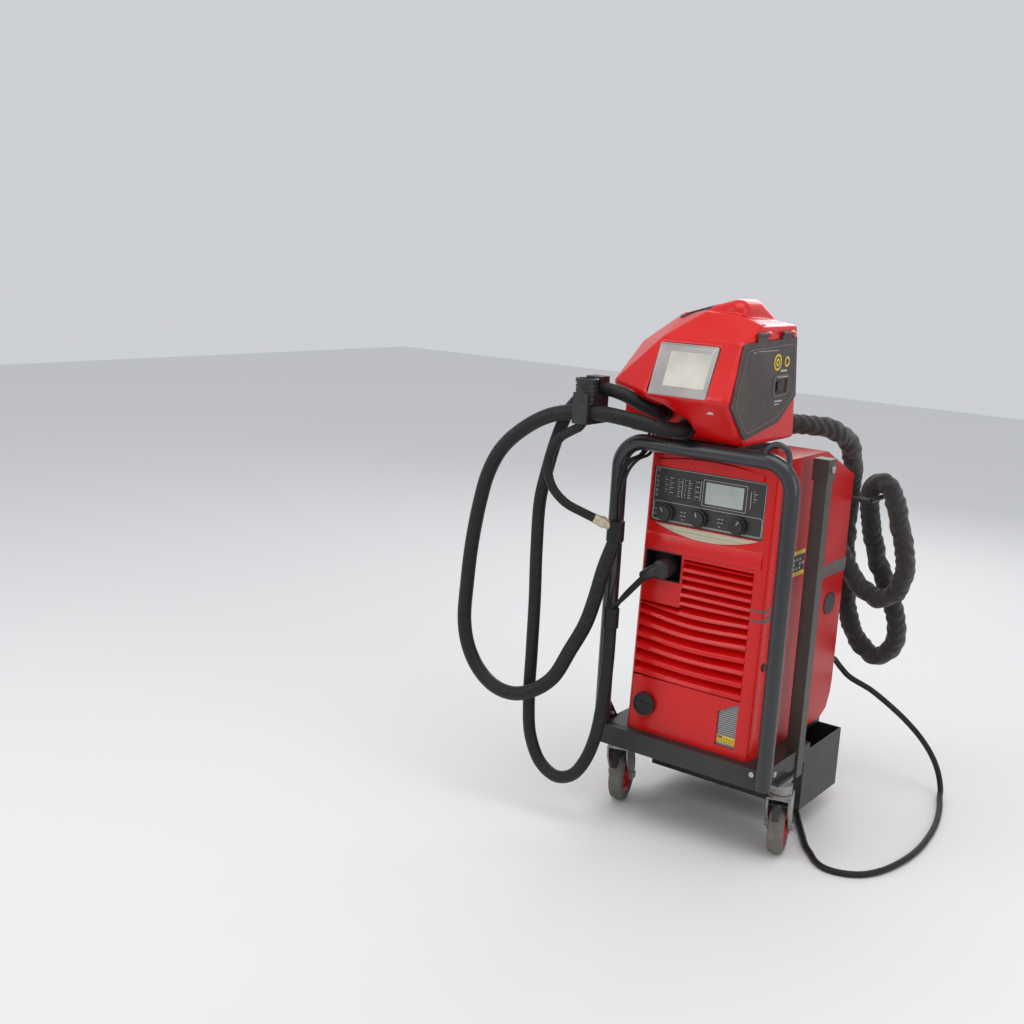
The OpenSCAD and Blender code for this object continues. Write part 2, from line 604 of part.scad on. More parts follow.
trolley_tray();
frame_tube();
rear_posts();
rear_box();
frame_bolts();
caster_plates();
fork_left();
fork_right();
hub_left();
hub_right();
tyre_left();
tyre_right();
brake_left();
brake_right();
rear_axle();
rear_hub_left();
rear_hub_right();
rear_tyre_left();
rear_tyre_right();
source_chassis();
source_cover();
source_rear();
source_front();
louvre_panel();
control_panel();
display();
silver_trim();
knob_left();
knob_middle();
knob_right();
socket_recess();
filler_cap();
level_window();
side_plugs();
mains_switch();
cable_gland();
cable_hanger();
fan();
coolant_tank();
inverter_board();
transformer();
feeder_mount();
feeder_shell();
feeder_window();
feeder_display();
side_door();
door_latch();
wire_spool();
drive_block();
drive_roll_lower();
drive_roll_upper();
hose_clamp();
main_hose();
second_hose();
small_hose();
conduit_boots();
mains_cable();
mains_coil();
mains_plug();
hose_pack();
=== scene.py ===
# A wheeled welding machine: trolley, power source, wire feeder, conduits and mains cable, finished for looks.
import json
import math
import bpy
import bmesh
import numpy as np
from mathutils import Matrix, Vector

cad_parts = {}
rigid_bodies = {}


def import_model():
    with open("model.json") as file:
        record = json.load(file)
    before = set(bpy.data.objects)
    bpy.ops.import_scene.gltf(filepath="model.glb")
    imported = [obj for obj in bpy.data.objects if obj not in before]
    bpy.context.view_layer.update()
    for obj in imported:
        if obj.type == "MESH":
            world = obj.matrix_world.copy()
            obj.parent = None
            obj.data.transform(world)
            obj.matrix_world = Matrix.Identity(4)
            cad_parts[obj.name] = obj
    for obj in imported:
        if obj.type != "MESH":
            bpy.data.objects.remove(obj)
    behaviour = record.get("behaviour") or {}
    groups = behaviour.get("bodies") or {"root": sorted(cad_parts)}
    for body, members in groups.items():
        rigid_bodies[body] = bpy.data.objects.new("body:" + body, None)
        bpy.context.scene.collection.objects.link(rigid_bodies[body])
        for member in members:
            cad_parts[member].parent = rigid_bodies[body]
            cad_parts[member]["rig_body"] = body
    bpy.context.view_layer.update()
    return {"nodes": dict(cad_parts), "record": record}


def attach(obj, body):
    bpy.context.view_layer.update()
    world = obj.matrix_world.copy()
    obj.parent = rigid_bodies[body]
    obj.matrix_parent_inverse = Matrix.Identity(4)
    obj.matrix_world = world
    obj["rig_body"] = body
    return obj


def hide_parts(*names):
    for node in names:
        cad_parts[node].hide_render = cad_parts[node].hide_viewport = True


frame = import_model()
print("frame loaded")

# the machine is drawn from the foot of its front face; this carries that point to the row frame
shiftX = 0.00468
shiftY = -0.21629
faceFoot = 222.0       # height of the foot of the leaning face, in mm
faceLean = math.radians(2.16)


def toFrame(points):
    # millimetres from the foot of the front face -> metres in the row frame
    p = np.atleast_2d(np.asarray(points, float)) / 1000.0
    return p + np.array([shiftX, shiftY, 0.0])


def onFace(x, depth, s):
    # a point of the leaning face: x across, depth behind it, s along it from its foot
    x, depth, s = np.broadcast_arrays(np.asarray(x, float), depth, s)
    c, n = math.cos(faceLean), math.sin(faceLean)
    return np.stack([x, depth * c + s * n, faceFoot - depth * n + s * c], axis=-1)


# camera
cameraSet = {"eye": (1.21668, -2.53629, 1.253), "yaw": 36.35, "pitch": 11.83, "roll": 3.08, "lens": 44.66}


def placeCamera(c):
    # looks along yaw and pitch from the eye, and rolls about that line; angles are in degrees
    yaw, pitch, roll = (math.radians(c[k]) for k in ("yaw", "pitch", "roll"))
    ahead = Vector((-math.sin(yaw) * math.cos(pitch), math.cos(yaw) * math.cos(pitch), -math.sin(pitch)))
    side = Vector((math.cos(yaw), math.sin(yaw), 0.0))
    up = side.cross(ahead)
    side2 = side * math.cos(roll) + up * math.sin(roll)
    up2 = up * math.cos(roll) - side * math.sin(roll)
    cam = bpy.data.cameras.new("camera")
    cam.lens = c["lens"]
    cam.sensor_width = 36.0
    obj = bpy.data.objects.new("camera", cam)
    bpy.context.scene.collection.objects.link(obj)
    turn = Matrix((side2, up2, -ahead)).transposed().to_4x4()
    obj.matrix_world = Matrix.Translation(Vector(c["eye"])) @ turn
    bpy.context.scene.camera = obj


placeCamera(cameraSet)
bpy.context.scene.view_settings.view_transform = "Standard"


# materials
class Recipe:
    # a small helper that adds nodes to one material and joins them
    def __init__(self, name, base=None, metallic=0.0, roughness=0.5, **sockets):
        self.mat = bpy.data.materials.new(name)
        self.mat.use_nodes = True
        self.tree = self.mat.node_tree
        self.shader = self.tree.nodes["Principled BSDF"]
        self.place = None
        if base is not None:
            self.shader.inputs["Base Color"].default_value = (*base, 1.0)
            self.mat.diffuse_color = (*base, 1.0)
        self.shader.inputs["Metallic"].default_value = metallic
        self.shader.inputs["Roughness"].default_value = roughness
        for key, value in sockets.items():
            self.shader.inputs[key.replace("_", " ")].default_value = value

    def add(self, kind, **values):
        node = self.tree.nodes.new(kind)
        for key, value in values.items():
            if hasattr(node, key):
                setattr(node, key, value)
            else:
                node.inputs[key.replace("_", " ")].default_value = value
        return node

    def join(self, a, b):
        self.tree.links.new(a, b)

    def where(self, stretch=(1, 1, 1), uv=False):
        coord = self.add("ShaderNodeTexCoord")
        node = self.add("ShaderNodeMapping")
        node.inputs["Scale"].default_value = stretch
        self.join(coord.outputs["UV" if uv else "Object"], node.inputs["Vector"])
        return node.outputs["Vector"]

    def noise(self, scale, detail=4.0, stretch=(1, 1, 1), uv=False, rough=0.55):
        node = self.add("ShaderNodeTexNoise", Scale=scale, Detail=detail, Roughness=rough)
        self.join(self.where(stretch, uv), node.inputs["Vector"])
        return node.outputs["Fac"]

    def wave(self, scale, stretch=(1, 1, 1), uv=False, direction="X"):
        node = self.add("ShaderNodeTexWave", Scale=scale, Distortion=0.0)
        node.bands_direction = direction
        self.join(self.where(stretch, uv), node.inputs["Vector"])
        return node.outputs["Fac"]

    def ramp(self, fac, stops):
        node = self.add("ShaderNodeValToRGB")
        band = node.color_ramp
        while len(band.elements) < len(stops):
            band.elements.new(0.5)
        for e, (pos, col) in zip(band.elements, stops):
            e.position = pos
            e.color = (*col, 1.0) if len(col) == 3 else col
        self.join(fac, node.inputs["Fac"])
        return node.outputs["Color"]

    def grey(self, fac, low, high, a=0.3, b=0.7):
        node = self.add("ShaderNodeMapRange")
        for key, value in (("From Min", a), ("From Max", b), ("To Min", low), ("To Max", high)):
            node.inputs[key].default_value = value
        self.join(fac, node.inputs["Value"])
        return node.outputs["Result"]

    def blend(self, fac, first, second, mode="MIX"):
        node = self.add("ShaderNodeMix")
        node.data_type = "RGBA"
        node.blend_type = mode
        for sock, value in ((0, fac), (6, first), (7, second)):
            if isinstance(value, bpy.types.NodeSocket):
                self.join(value, node.inputs[sock])
            else:
                node.inputs[sock].default_value = value if sock == 0 else (*value, 1.0)
        return node.outputs[2]

    def maths(self, operation, a, b=0.0):
        node = self.add("ShaderNodeMath")
        node.operation = operation
        for i, value in enumerate((a, b)):
            if isinstance(value, bpy.types.NodeSocket):
                self.join(value, node.inputs[i])
            else:
                node.inputs[i].default_value = value
        return node.outputs[0]

    def colour(self, out):
        self.join(out, self.shader.inputs["Base Color"])

    def rough(self, out):
        self.join(out, self.shader.inputs["Roughness"])

    def bump(self, height, strength=0.2, distance=0.001):
        node = self.add("ShaderNodeBump", Strength=strength, Distance=distance)
        self.join(height, node.inputs["Height"])
        last = self.shader.inputs["Normal"]
        if last.is_linked:
            self.join(last.links[0].from_socket, node.inputs["Normal"])
        self.join(node.outputs["Normal"], last)

    def wear(self, under, strength=0.5, width=0.0022):
        # lighter colour where a rounded normal leaves the true one, which is near a sharp edge
        geo = self.add("ShaderNodeNewGeometry")
        rounded = self.add("ShaderNodeBevel", Radius=width)
        rounded.samples = 4
        same = self.add("ShaderNodeVectorMath")
        same.operation = "DOT_PRODUCT"
        self.join(geo.outputs["Normal"], same.inputs[0])
        self.join(rounded.outputs["Normal"], same.inputs[1])
        edge = self.grey(same.outputs["Value"], strength, 0.0, 0.80, 0.985)
        broken = self.maths("MULTIPLY", edge, self.grey(self.noise(55.0, 5.0), 0.0, 1.6, 0.45, 0.65))
        now = self.shader.inputs["Base Color"]
        first = now.links[0].from_socket if now.is_linked else tuple(now.default_value)[:3]
        self.colour(self.blend(broken, first, under))


def dusted(name, base, lift, scale, roughLow, roughHigh, metallic=0.0, grain=900.0, grainStrength=0.06,
           dirt=None, **more):
    # a plain finish with slow colour drift, patchy roughness and a fine grain
    r = Recipe(name, base, metallic, roughLow, **more)
    drift = r.noise(scale, 5.0)
    light = tuple(min(1.0, c * (1 + lift) + 0.01 * lift) for c in base)
    dark = tuple(c * (1 - 0.6 * lift) for c in base)
    tone = r.ramp(drift, [(0.30, dark), (0.50, base), (0.72, light)])
    if dirt is not None:
        spots = r.grey(r.noise(scale * 6, 8.0, rough=0.7), 0.0, dirt[1], 0.52, 0.75)
        tone = r.blend(spots, tone, dirt[0])
    r.colour(tone)
    r.rough(r.grey(r.noise(scale * 2.3, 6.0), roughLow, roughHigh))
    r.bump(r.noise(grain, 2.0), grainStrength, 0.0004)
    return r


dust = (0.16, 0.145, 0.125)
mats = {}


def redMould(name, base):
    r = dusted(name, base, 0.10, 5.0, 0.22, 0.36, grain=1400.0, grainStrength=0.03, Coat_Weight=0.2,
               Coat_Roughness=0.15, Specular_IOR_Level=0.35)
    r.bump(r.noise(14.0, 2.0), 0.06, 0.002)
    r.wear((0.70, 0.03, 0.02), 0.3)
    return r.mat


mats["red_plastic"] = redMould("redMouldedPlastic", (0.60, 0.0030, 0.0025))
mats["red_sheet"] = dusted("redPowderCoat", (0.43, 0.0030, 0.0028), 0.12, 4.0, 0.30, 0.44, grain=700.0,
                           grainStrength=0.10, Coat_Weight=0.1, Coat_Roughness=0.3,
                           Specular_IOR_Level=0.3).mat
r = dusted("blackPowderCoat", (0.020, 0.0175, 0.016), 0.25, 5.0, 0.40, 0.47, grain=1000.0, grainStrength=0.10,
           dirt=((0.05, 0.045, 0.04), 0.10))
r.wear((0.14, 0.13, 0.12), 0.6)
mats["black_steel"] = r.mat
r = dusted("tubePowderCoat", (0.013, 0.015, 0.018), 0.25, 6.0, 0.26, 0.32, grain=1100.0, grainStrength=0.07,
           dirt=((0.06, 0.06, 0.06), 0.12), Coat_Weight=0.3, Coat_Roughness=0.2)
r.wear((0.20, 0.20, 0.21), 0.5)
mats["frame_paint"] = r.mat
r = dusted("postPowderCoat", (0.046, 0.037, 0.031), 0.25, 6.0, 0.36, 0.44, grain=1000.0, grainStrength=0.10,
           dirt=(dust, 0.12))
r.wear((0.22, 0.20, 0.18), 0.6)
mats["post_paint"] = r.mat
mats["zinc"] = dusted("dullZinc", (0.50, 0.49, 0.47), 0.25, 40.0, 0.30, 0.48, metallic=0.9, grain=1500.0,
                      grainStrength=0.05).mat
r = dusted("casterSteel", (0.30, 0.29, 0.275), 0.35, 24.0, 0.38, 0.62, metallic=0.75, grain=1500.0,
           grainStrength=0.08, dirt=((0.10, 0.085, 0.065), 0.5))
mats["caster_steel"] = r.mat
mats["hub_red"] = dusted("hubPlastic", (0.50, 0.012, 0.008), 0.25, 22.0, 0.32, 0.5, grain=1300.0,
                         grainStrength=0.05, dirt=(dust, 0.35)).mat
r = dusted("wornTyre", (0.125, 0.115, 0.10), 0.35, 26.0, 0.62, 0.85, grain=900.0, grainStrength=0.25,
           dirt=((0.26, 0.235, 0.20), 0.55))
mats["tyre"] = r.mat
mats["black_plastic"] = dusted("blackMoulding", (0.013, 0.013, 0.014), 0.4, 26.0, 0.34, 0.52, grain=1800.0,
                               grainStrength=0.12, dirt=((0.05, 0.047, 0.043), 0.25)).mat
mats["panel"] = dusted("panelMembrane", (0.030, 0.0275, 0.027), 0.18, 16.0, 0.30, 0.42, grain=2400.0,
                       grainStrength=0.10).mat
r = Recipe("paleDisplay", (0.40, 0.44, 0.41), 0.0, 0.16, Coat_Weight=0.6, Coat_Roughness=0.05)
r.colour(r.ramp(r.noise(16.0, 3.0), [(0.3, (0.34, 0.385, 0.355)), (0.7, (0.47, 0.51, 0.48))]))
r.rough(r.grey(r.noise(50.0), 0.12, 0.22))
mats["lcd"] = r.mat
r = Recipe("brushedTrim", (0.56, 0.50, 0.37), 0.85, 0.3)
streak = r.noise(60.0, 6.0, stretch=(0.04, 1, 6))
r.colour(r.ramp(streak, [(0.3, (0.40, 0.35, 0.25)), (0.55, (0.58, 0.52, 0.39)), (0.8, (0.72, 0.68, 0.57))]))
r.rough(r.grey(streak, 0.22, 0.42))
r.bump(streak, 0.1, 0.0004)
mats["trim"] = r.mat
r = Recipe("ribbedWindow", (0.22, 0.21, 0.21), 0.0, 0.3, Coat_Weight=0.4)
# the colour of the ribs runs from painted shade in their grooves to a painted highlight on their crests, over
# the same bands that raise the bump
bars = r.wave(2.6, stretch=(1, 1, 26), direction="Z")
r.colour(r.ramp(bars, [(0.1, (0.07, 0.066, 0.066)), (0.55, (0.20, 0.19, 0.19)), (0.95, (0.34, 0.33, 0.33))]))
r.bump(bars, 0.5, 0.001)
mats["window_grey"] = r.mat
mats["label_white"] = dusted("labelWhite", (0.42, 0.41, 0.39), 0.1, 80.0, 0.4, 0.55).mat
mats["label_line"] = dusted("labelLine", (0.42, 0.41, 0.38), 0.1, 80.0, 0.4, 0.55).mat
mats["door_line"] = dusted("doorLine", (0.16, 0.14, 0.13), 0.15, 60.0, 0.35, 0.5).mat
mats["label_black"] = dusted("labelBlack", (0.012, 0.012, 0.013), 0.2, 80.0, 0.35, 0.5).mat
mats["label_yellow"] = dusted("labelYellow", (0.72, 0.50, 0.02), 0.1, 80.0, 0.35, 0.5).mat
mats["band_grey"] = dusted("bandGrey", (0.115, 0.095, 0.09), 0.15, 30.0, 0.35, 0.5).mat
mats["fitting"] = dusted("paleFitting", (0.50, 0.44, 0.32), 0.15, 60.0, 0.28, 0.42, metallic=0.35).mat
mats["tank"] = dusted("tankPlastic", (0.58, 0.62, 0.64), 0.1, 10.0, 0.35, 0.5).mat
mats["board"] = dusted("boardLacquer", (0.02, 0.10, 0.04), 0.3, 60.0, 0.35, 0.5).mat
mats["copper"] = dusted("varnishedWinding", (0.33, 0.13, 0.06), 0.3, 60.0, 0.35, 0.5, metallic=0.6).mat
r = Recipe("frostedLens", (0.36, 0.34, 0.33), 0.0, 0.14, Coat_Weight=0.8, Coat_Roughness=0.06)
r.colour(r.ramp(r.noise(7.0, 3.0), [(0.35, (0.30, 0.275, 0.265)), (0.65, (0.44, 0.42, 0.405))]))
r.rough(r.grey(r.noise(30.0), 0.10, 0.22))
mats["window_lens"] = r.mat
r = Recipe("paleScreen", (0.46, 0.44, 0.37), 0.0, 0.2, Coat_Weight=0.5, Coat_Roughness=0.08)
r.colour(r.ramp(r.noise(12.0, 3.0), [(0.3, (0.40, 0.385, 0.32)), (0.7, (0.54, 0.52, 0.45))]))
r.rough(r.grey(r.noise(50.0), 0.14, 0.26))
mats["screen"] = r.mat
mats["door"] = dusted("doorMoulding", (0.052, 0.040, 0.036), 0.22, 14.0, 0.40, 0.55, grain=1700.0,
                      grainStrength=0.16).mat
mats["spool"] = dusted("spoolMoulding", (0.03, 0.03, 0.032), 0.3, 30.0, 0.4, 0.55).mat
mats["alloy"] = dusted("castAlloy", (0.52, 0.52, 0.52), 0.2, 30.0, 0.32, 0.5, metallic=0.9).mat
mats["roll_steel"] = dusted("groundSteel", (0.6, 0.58, 0.52), 0.15, 60.0, 0.16, 0.3, metallic=1.0).mat
mats["plug_red"] = dusted("plugMoulding", (0.50, 0.014, 0.01), 0.2, 26.0, 0.3, 0.45).mat
r = Recipe("hoseRubber", (0.010, 0.010, 0.0105), 0.0, 0.42, Specular_IOR_Level=0.3)
drift = r.noise(3.0, 6.0, stretch=(6, 1, 1), uv=True)
r.colour(r.ramp(drift, [(0.3, (0.006, 0.006, 0.0063)), (0.55, (0.010, 0.010, 0.0103)),
                        (0.75, (0.024, 0.023, 0.022))]))
r.rough(r.grey(r.noise(9.0, 6.0, stretch=(6, 1, 1), uv=True), 0.36, 0.58))
r.bump(r.wave(90.0, uv=True, direction="X"), 0.12, 0.0005)
r.bump(r.noise(60.0, 4.0, stretch=(6, 1, 1), uv=True), 0.25, 0.0012)
mats["hose_rubber"] = r.mat
r = Recipe("wovenSleeve", (0.012, 0.011, 0.010), 0.0, 0.8, Sheen_Weight=0.35, Sheen_Roughness=0.5)
# the weave paints a lighter colour on the raised strands, a painted sheen, and the folds paint shade in their
# hollows and light on their crests; both follow the fields that drive the bumps
over = r.wave(75.0, uv=True, direction="X")
under = r.wave(9.5, stretch=(1, 1, 1), uv=True, direction="Y")
weave = r.maths("MULTIPLY", over, under)
folds = r.noise(5.5, 6.0, stretch=(4, 1, 1), uv=True)
r.colour(r.blend(r.grey(weave, 0.0, 0.6, 0.0, 1.0),
                 r.ramp(folds, [(0.3, (0.006, 0.0055, 0.005)), (0.6, (0.014, 0.013, 0.0115)),
                                (0.8, (0.030, 0.028, 0.024))]), (0.040, 0.037, 0.032)))
r.rough(r.grey(folds, 0.68, 0.9))
r.bump(weave, 0.5, 0.0010)
r.bump(folds, 0.5, 0.003)
mats["sleeve"] = r.mat
print("materials made")


# surfaces
def meshPiece(name, verts, faces, material, body="machine", smooth=30, uv=None):
    # a closed piece whose faces look outwards; verts are in metres in the row frame, uv holds one pair for
    # each corner of each face, and faces that meet at less than smooth degrees share their shading
    mesh = bpy.data.meshes.new(name)
    mesh.from_pydata(np.asarray(verts).tolist(), [], [list(map(int, f)) for f in faces])
    mesh.update()
    if uv is not None:
        layer = mesh.uv_layers.new(name="UVMap")
        layer.data.foreach_set("uv", np.asarray(uv, np.float32).ravel())
    obj = bpy.data.objects.new(name, mesh)
    bpy.context.scene.collection.objects.link(obj)
    mesh.materials.append(mats[material])
    shadeByAngle(obj, smooth)
    if signedVolume(mesh) < 0:
        mesh.flip_normals()
    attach(obj, body)
    return obj


def shadeByAngle(obj, degrees):
    # faces that meet at less than the angle share their shading
    mesh = obj.data
    mesh.shade_smooth()
    mesh.set_sharp_from_angle(angle=math.radians(degrees))


def gridFaces(rows, cols, closeRows=False, closeCols=False):
    # the quads between neighbouring rows and columns of a grid of points, row by row
    i = np.arange(rows if closeRows else rows - 1)
    j = np.arange(cols if closeCols else cols - 1)
    a, b = np.meshgrid(i, j, indexing="ij")
    a2, b2 = (a + 1) % rows, (b + 1) % cols
    return np.stack([a * cols + b, a * cols + b2, a2 * cols + b2, a2 * cols + b], axis=-1).reshape(-1, 4)


def smoothPath(points, step):
    # a centripetal spline through the route's points, laid out again at even steps along its length
    p = np.asarray(points, float)
    p = np.vstack([2 * p[0] - p[1], p, 2 * p[-1] - p[-2]])
    gaps = np.maximum(np.linalg.norm(np.diff(p, axis=0), axis=1), 1e-9) ** 0.5
    t = np.concatenate([[0], np.cumsum(gaps)])
    out = []
    for i in range(1, len(p) - 2):
        u = np.linspace(t[i], t[i + 1], 24, endpoint=False)[:, None]
        a1 = (t[i] - u) / (t[i] - t[i - 1]) * p[i - 1] + (u - t[i - 1]) / (t[i] - t[i - 1]) * p[i]
        a2 = (t[i + 1] - u) / (t[i + 1] - t[i]) * p[i] + (u - t[i]) / (t[i + 1] - t[i]) * p[i + 1]
        a3 = ((t[i + 2] - u) / (t[i + 2] - t[i + 1]) * p[i + 1]
              + (u - t[i + 1]) / (t[i + 2] - t[i + 1]) * p[i + 2])
        b1 = (t[i + 1] - u) / (t[i + 1] - t[i - 1]) * a1 + (u - t[i - 1]) / (t[i + 1] - t[i - 1]) * a2
        b2 = (t[i + 2] - u) / (t[i + 2] - t[i]) * a2 + (u - t[i]) / (t[i + 2] - t[i]) * a3
        out.append((t[i + 1] - u) / (t[i + 1] - t[i]) * b1 + (u - t[i]) / (t[i + 1] - t[i]) * b2)
    dense = np.vstack(out + [p[-2:-1]])
    along = np.concatenate([[0], np.cumsum(np.linalg.norm(np.diff(dense, axis=0), axis=1))])
    count = max(8, int(round(along[-1] / step)) + 1)
    even = np.linspace(0, along[-1], count)
    return np.stack([np.interp(even, along, dense[:, k]) for k in range(3)], axis=1)


def pathLength(p):
    # the sum of the steps between the points
    return float(np.linalg.norm(np.diff(p, axis=0), axis=1).sum())


def pathFrames(p):
    # tangents, and side directions carried along the path with as little turning as possible
    tangent = np.gradient(p, axis=0)
    tangent /= np.linalg.norm(tangent, axis=1)[:, None]
    side = np.zeros_like(p)
    start = np.array([0.0, 0.0, 1.0]) if abs(tangent[0, 2]) < 0.9 else np.array([1.0, 0.0, 0.0])
    last = start - start.dot(tangent[0]) * tangent[0]
    for i, t in enumerate(tangent):
        last = last - last.dot(t) * t
        last /= np.linalg.norm(last)
        side[i] = last
    return tangent, side, np.cross(tangent, side)


def sweep(name, path, radius, sides, material, body="machine", crease=None):
    # each ring lies across the path; radius may change along it, and crease adds to it over (length, angle)
    p = np.asarray(path, float)
    _, side, other = pathFrames(p)
    n = len(p)
    angle = np.linspace(0, 2 * np.pi, sides, endpoint=False)
    along = np.concatenate([[0], np.cumsum(np.linalg.norm(np.diff(p, axis=0), axis=1))])
    r = np.broadcast_to(np.asarray(radius, float).reshape(-1, 1), (n, 1)) * np.ones((1, sides))
    if crease is not None:
        r = r + crease(along[:, None], angle[None, :])
    around = (np.cos(angle)[None, :, None] * side[:, None, :]
              + np.sin(angle)[None, :, None] * other[:, None, :])
    rings = p[:, None, :] + r[..., None] * around
    verts = np.vstack([rings.reshape(-1, 3), p[:1], p[-1:]])
    faces = gridFaces(n, sides, closeCols=True)[:, ::-1]
    k = np.arange(sides)
    u = along / 0.1
    a = np.arange(n - 1)[:, None]
    b = np.arange(sides)[None, :]
    u0, u1 = u[a] + 0 * b, u[a + 1] + 0 * b
    v0, v1 = b / sides + 0 * a, (b + 1) / sides + 0 * a
    quad = np.stack([np.stack([u1, v0], -1), np.stack([u1, v1], -1), np.stack([u0, v1], -1),
                     np.stack([u0, v0], -1)], axis=2)
    faceUv = quad.reshape(-1, 2)
    capA = np.stack([np.full(sides, n * sides), (k + 1) % sides, k], axis=1)
    capB = np.stack([np.full(sides, n * sides + 1), (n - 1) * sides + k, (n - 1) * sides + (k + 1) % sides],
                    axis=1)
    capUv = np.zeros((2 * sides * 3, 2))
    allFaces = [tuple(f) for f in faces] + [tuple(f) for f in np.vstack([capA, capB])]
    return meshPiece(name, verts, allFaces, material, body, smooth=50, uv=np.vstack([faceUv, capUv]))


def latheRings(start, ahead, profile, sides):
    # a profile of (distance along, radius) pairs in metres, spun round the line from start along ahead
    profile = np.asarray(profile, float)
    t = np.asarray(ahead, float) / np.linalg.norm(ahead)
    side = np.cross(t, [0.0, 0.0, 1.0] if abs(t[2]) < 0.9 else [1.0, 0.0, 0.0])
    side /= np.linalg.norm(side)
    other = np.cross(t, side)
    a = np.linspace(0, 2 * np.pi, sides, endpoint=False)
    ring = np.cos(a)[:, None] * side + np.sin(a)[:, None] * other
    return np.asarray(start) + profile[:, :1, None] * t + profile[:, 1:, None] * ring[None]


def turned(name, start, ahead, profile, sides, material, body="machine"):
    # a solid turned piece, with a flat cap at each end of its profile
    verts = latheRings(start, ahead, profile, sides)
    n = len(profile)
    faces = [tuple(f) for f in gridFaces(n, sides, closeCols=True)]
    faces += [tuple(range(sides))[::-1], tuple((n - 1) * sides + np.arange(sides))]
    return meshPiece(name, verts.reshape(-1, 3), faces, material, body, smooth=40)


def turnedTube(name, start, ahead, profile, sides, material, body="machine"):
    # a turned piece whose profile closes on itself round an open middle
    verts = latheRings(start, ahead, profile, sides)
    faces = gridFaces(len(profile), sides, closeRows=True, closeCols=True)
    return meshPiece(name, verts.reshape(-1, 3), faces, material, body, smooth=40)


def signedVolume(mesh):
    # positive where the faces of a closed mesh look outwards
    mesh.calc_loop_triangles()
    tri = np.empty(len(mesh.loop_triangles) * 3, np.int64)
    mesh.loop_triangles.foreach_get("vertices", tri)
    co = np.empty(len(mesh.vertices) * 3)
    mesh.vertices.foreach_get("co", co)
    c = co.reshape(-1, 3)[tri.reshape(-1, 3)]
    return float(np.einsum("ij,ij->i", c[:, 0], np.cross(c[:, 1], c[:, 2])).sum() / 6)


# hoses and cables
routes = {
    "main": [(-45, -30, 905), (-46, -50, 903), (-66, -92, 908), (-105, -126, 920), (-160, -145, 928),
             (-215, -150, 928), (-300, -150, 910), (-375, -150, 867), (-425, -150, 819), (-455, -150, 764),
             (-473, -150, 701), (-490, -150, 607), (-499, -150, 513), (-502, -150, 419), (-488, -150, 363),
             (-456, -150, 316), (-411, -150, 287), (-357, -150, 282), (-304, -148, 302), (-260, -138, 340),
             (-231, -120, 406), (-207, -105, 465), (-196, -92, 520), (-186, -78, 590), (-172, -65, 650)],
    "second": [(-100, -30, 930), (-101, -48, 934), (-122, -78, 948), (-155, -104, 968), (-198, -114, 975),
               (-242, -112, 957), (-280, -112, 917), (-306, -112, 854), (-325, -112, 786), (-339, -112, 718),
               (-341, -112, 606), (-338, -112, 494), (-338, -112, 378), (-338, -112, 261), (-328, -112, 180),
               (-297, -112, 125), (-254, -112, 105), (-213, -112, 119), (-183, -112, 157), (-164, -104, 215),
               (-156, -95, 295), (-158, -82, 390), (-166, -68, 460)],
    "small": [(-218, -150, 904), (-225, -150, 895), (-244, -150, 884), (-269, -150, 868), (-290, -150, 838),
              (-299, -148, 800), (-290, -142, 760), (-262, -130, 728), (-225, -110, 708), (-200, -90, 694)],
    "mains": [(130, 454, 341), (131, 470, 334), (140, 490, 312), (158, 507, 288), (204, 535, 259),
              (247, 562, 222), (280, 590, 185), (313, 615, 142), (338, 635, 97), (352, 652, 53),
              (362, 650, 18), (370, 625, 7), (390, 565, 7), (412, 478, 7), (425, 387, 7), (429, 299, 7),
              (421, 219, 7), (402, 149, 7), (376, 107, 7), (342, 86, 7), (309, 83, 7), (282, 98, 7),
              (260, 124, 7), (237, 150, 7), (208, 196, 7), (175, 250, 7), (140, 310, 7), (104, 366, 7),
              (66, 420, 7), (32, 490, 7), (6, 570, 7), (-7, 635, 7)],
    "pack": [(-20, 226, 905), (-14, 262, 902), (18, 312, 896), (58, 358, 894), (92, 402, 886),
             (112, 450, 860), (114, 494, 806), (106, 522, 740), (100, 536, 660), (100, 545, 580),
             (108, 550, 500), (120, 552, 430), (145, 555, 375), (185, 556, 340), (224, 556, 352),
             (243, 552, 396), (236, 549, 450), (214, 547, 500), (190, 542, 555), (172, 532, 615),
             (160, 520, 680), (158, 508, 732), (168, 502, 756), (190, 498, 765), (212, 495, 756),
             (224, 492, 732), (238, 490, 690), (256, 490, 635), (266, 490, 575), (252, 490, 522),
             (216, 489, 498), (174, 487, 512), (138, 484, 552), (106, 482, 600), (82, 476, 632),
             (67, 464, 647), (60, 448, 650), (60, 442, 650)],
}
hoseSet = {"main": 0.032, "second": 0.028, "small": 0.020, "mains": 0.014, "pack": 0.050}
coilSet = {"x": -95, "y": 650,
           "rings": [(83, 7), (69, 7), (69, 21), (83, 21), (83, 35), (69, 35), (69, 49), (83, 49)]}


def hose(name, key, node, sides, crease=None, material="hose_rubber"):
    # a tube along one of the routes; it stands for the CAD node
    path = smoothPath(toFrame(routes[key]), hoseSet[key] * (0.22 if crease is None else 0.06))
    obj = sweep(name, path, hoseSet[key] / 2 - 0.0002, sides, material, crease=crease)
    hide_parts(node)
    return obj, path


mainHose, mainPath = hose("mainConduit", "main", "main_hose", 28)
secondHose, secondPath = hose("secondConduit", "second", "second_hose", 26)
smallEnd, smallAhead = toFrame((-200, -90, 694))[0], np.array([25.0, 20.0, -14.0])
fittingFoot = smallEnd - smallAhead / np.linalg.norm(smallAhead) * 0.012
fittingRows = [(0, 0.0104), (0.001, 0.0112), (0.014, 0.0115), (0.015, 0.0125), (0.026, 0.0125),
               (0.027, 0.0105), (0.040, 0.0100), (0.041, 0.0080), (0.048, 0.0078)]
leadFitting = turned("smallLeadFitting", fittingFoot, smallAhead, fittingRows, 28, "fitting")
smallHose, smallPath = hose("smallLead", "small", "small_hose", 22)


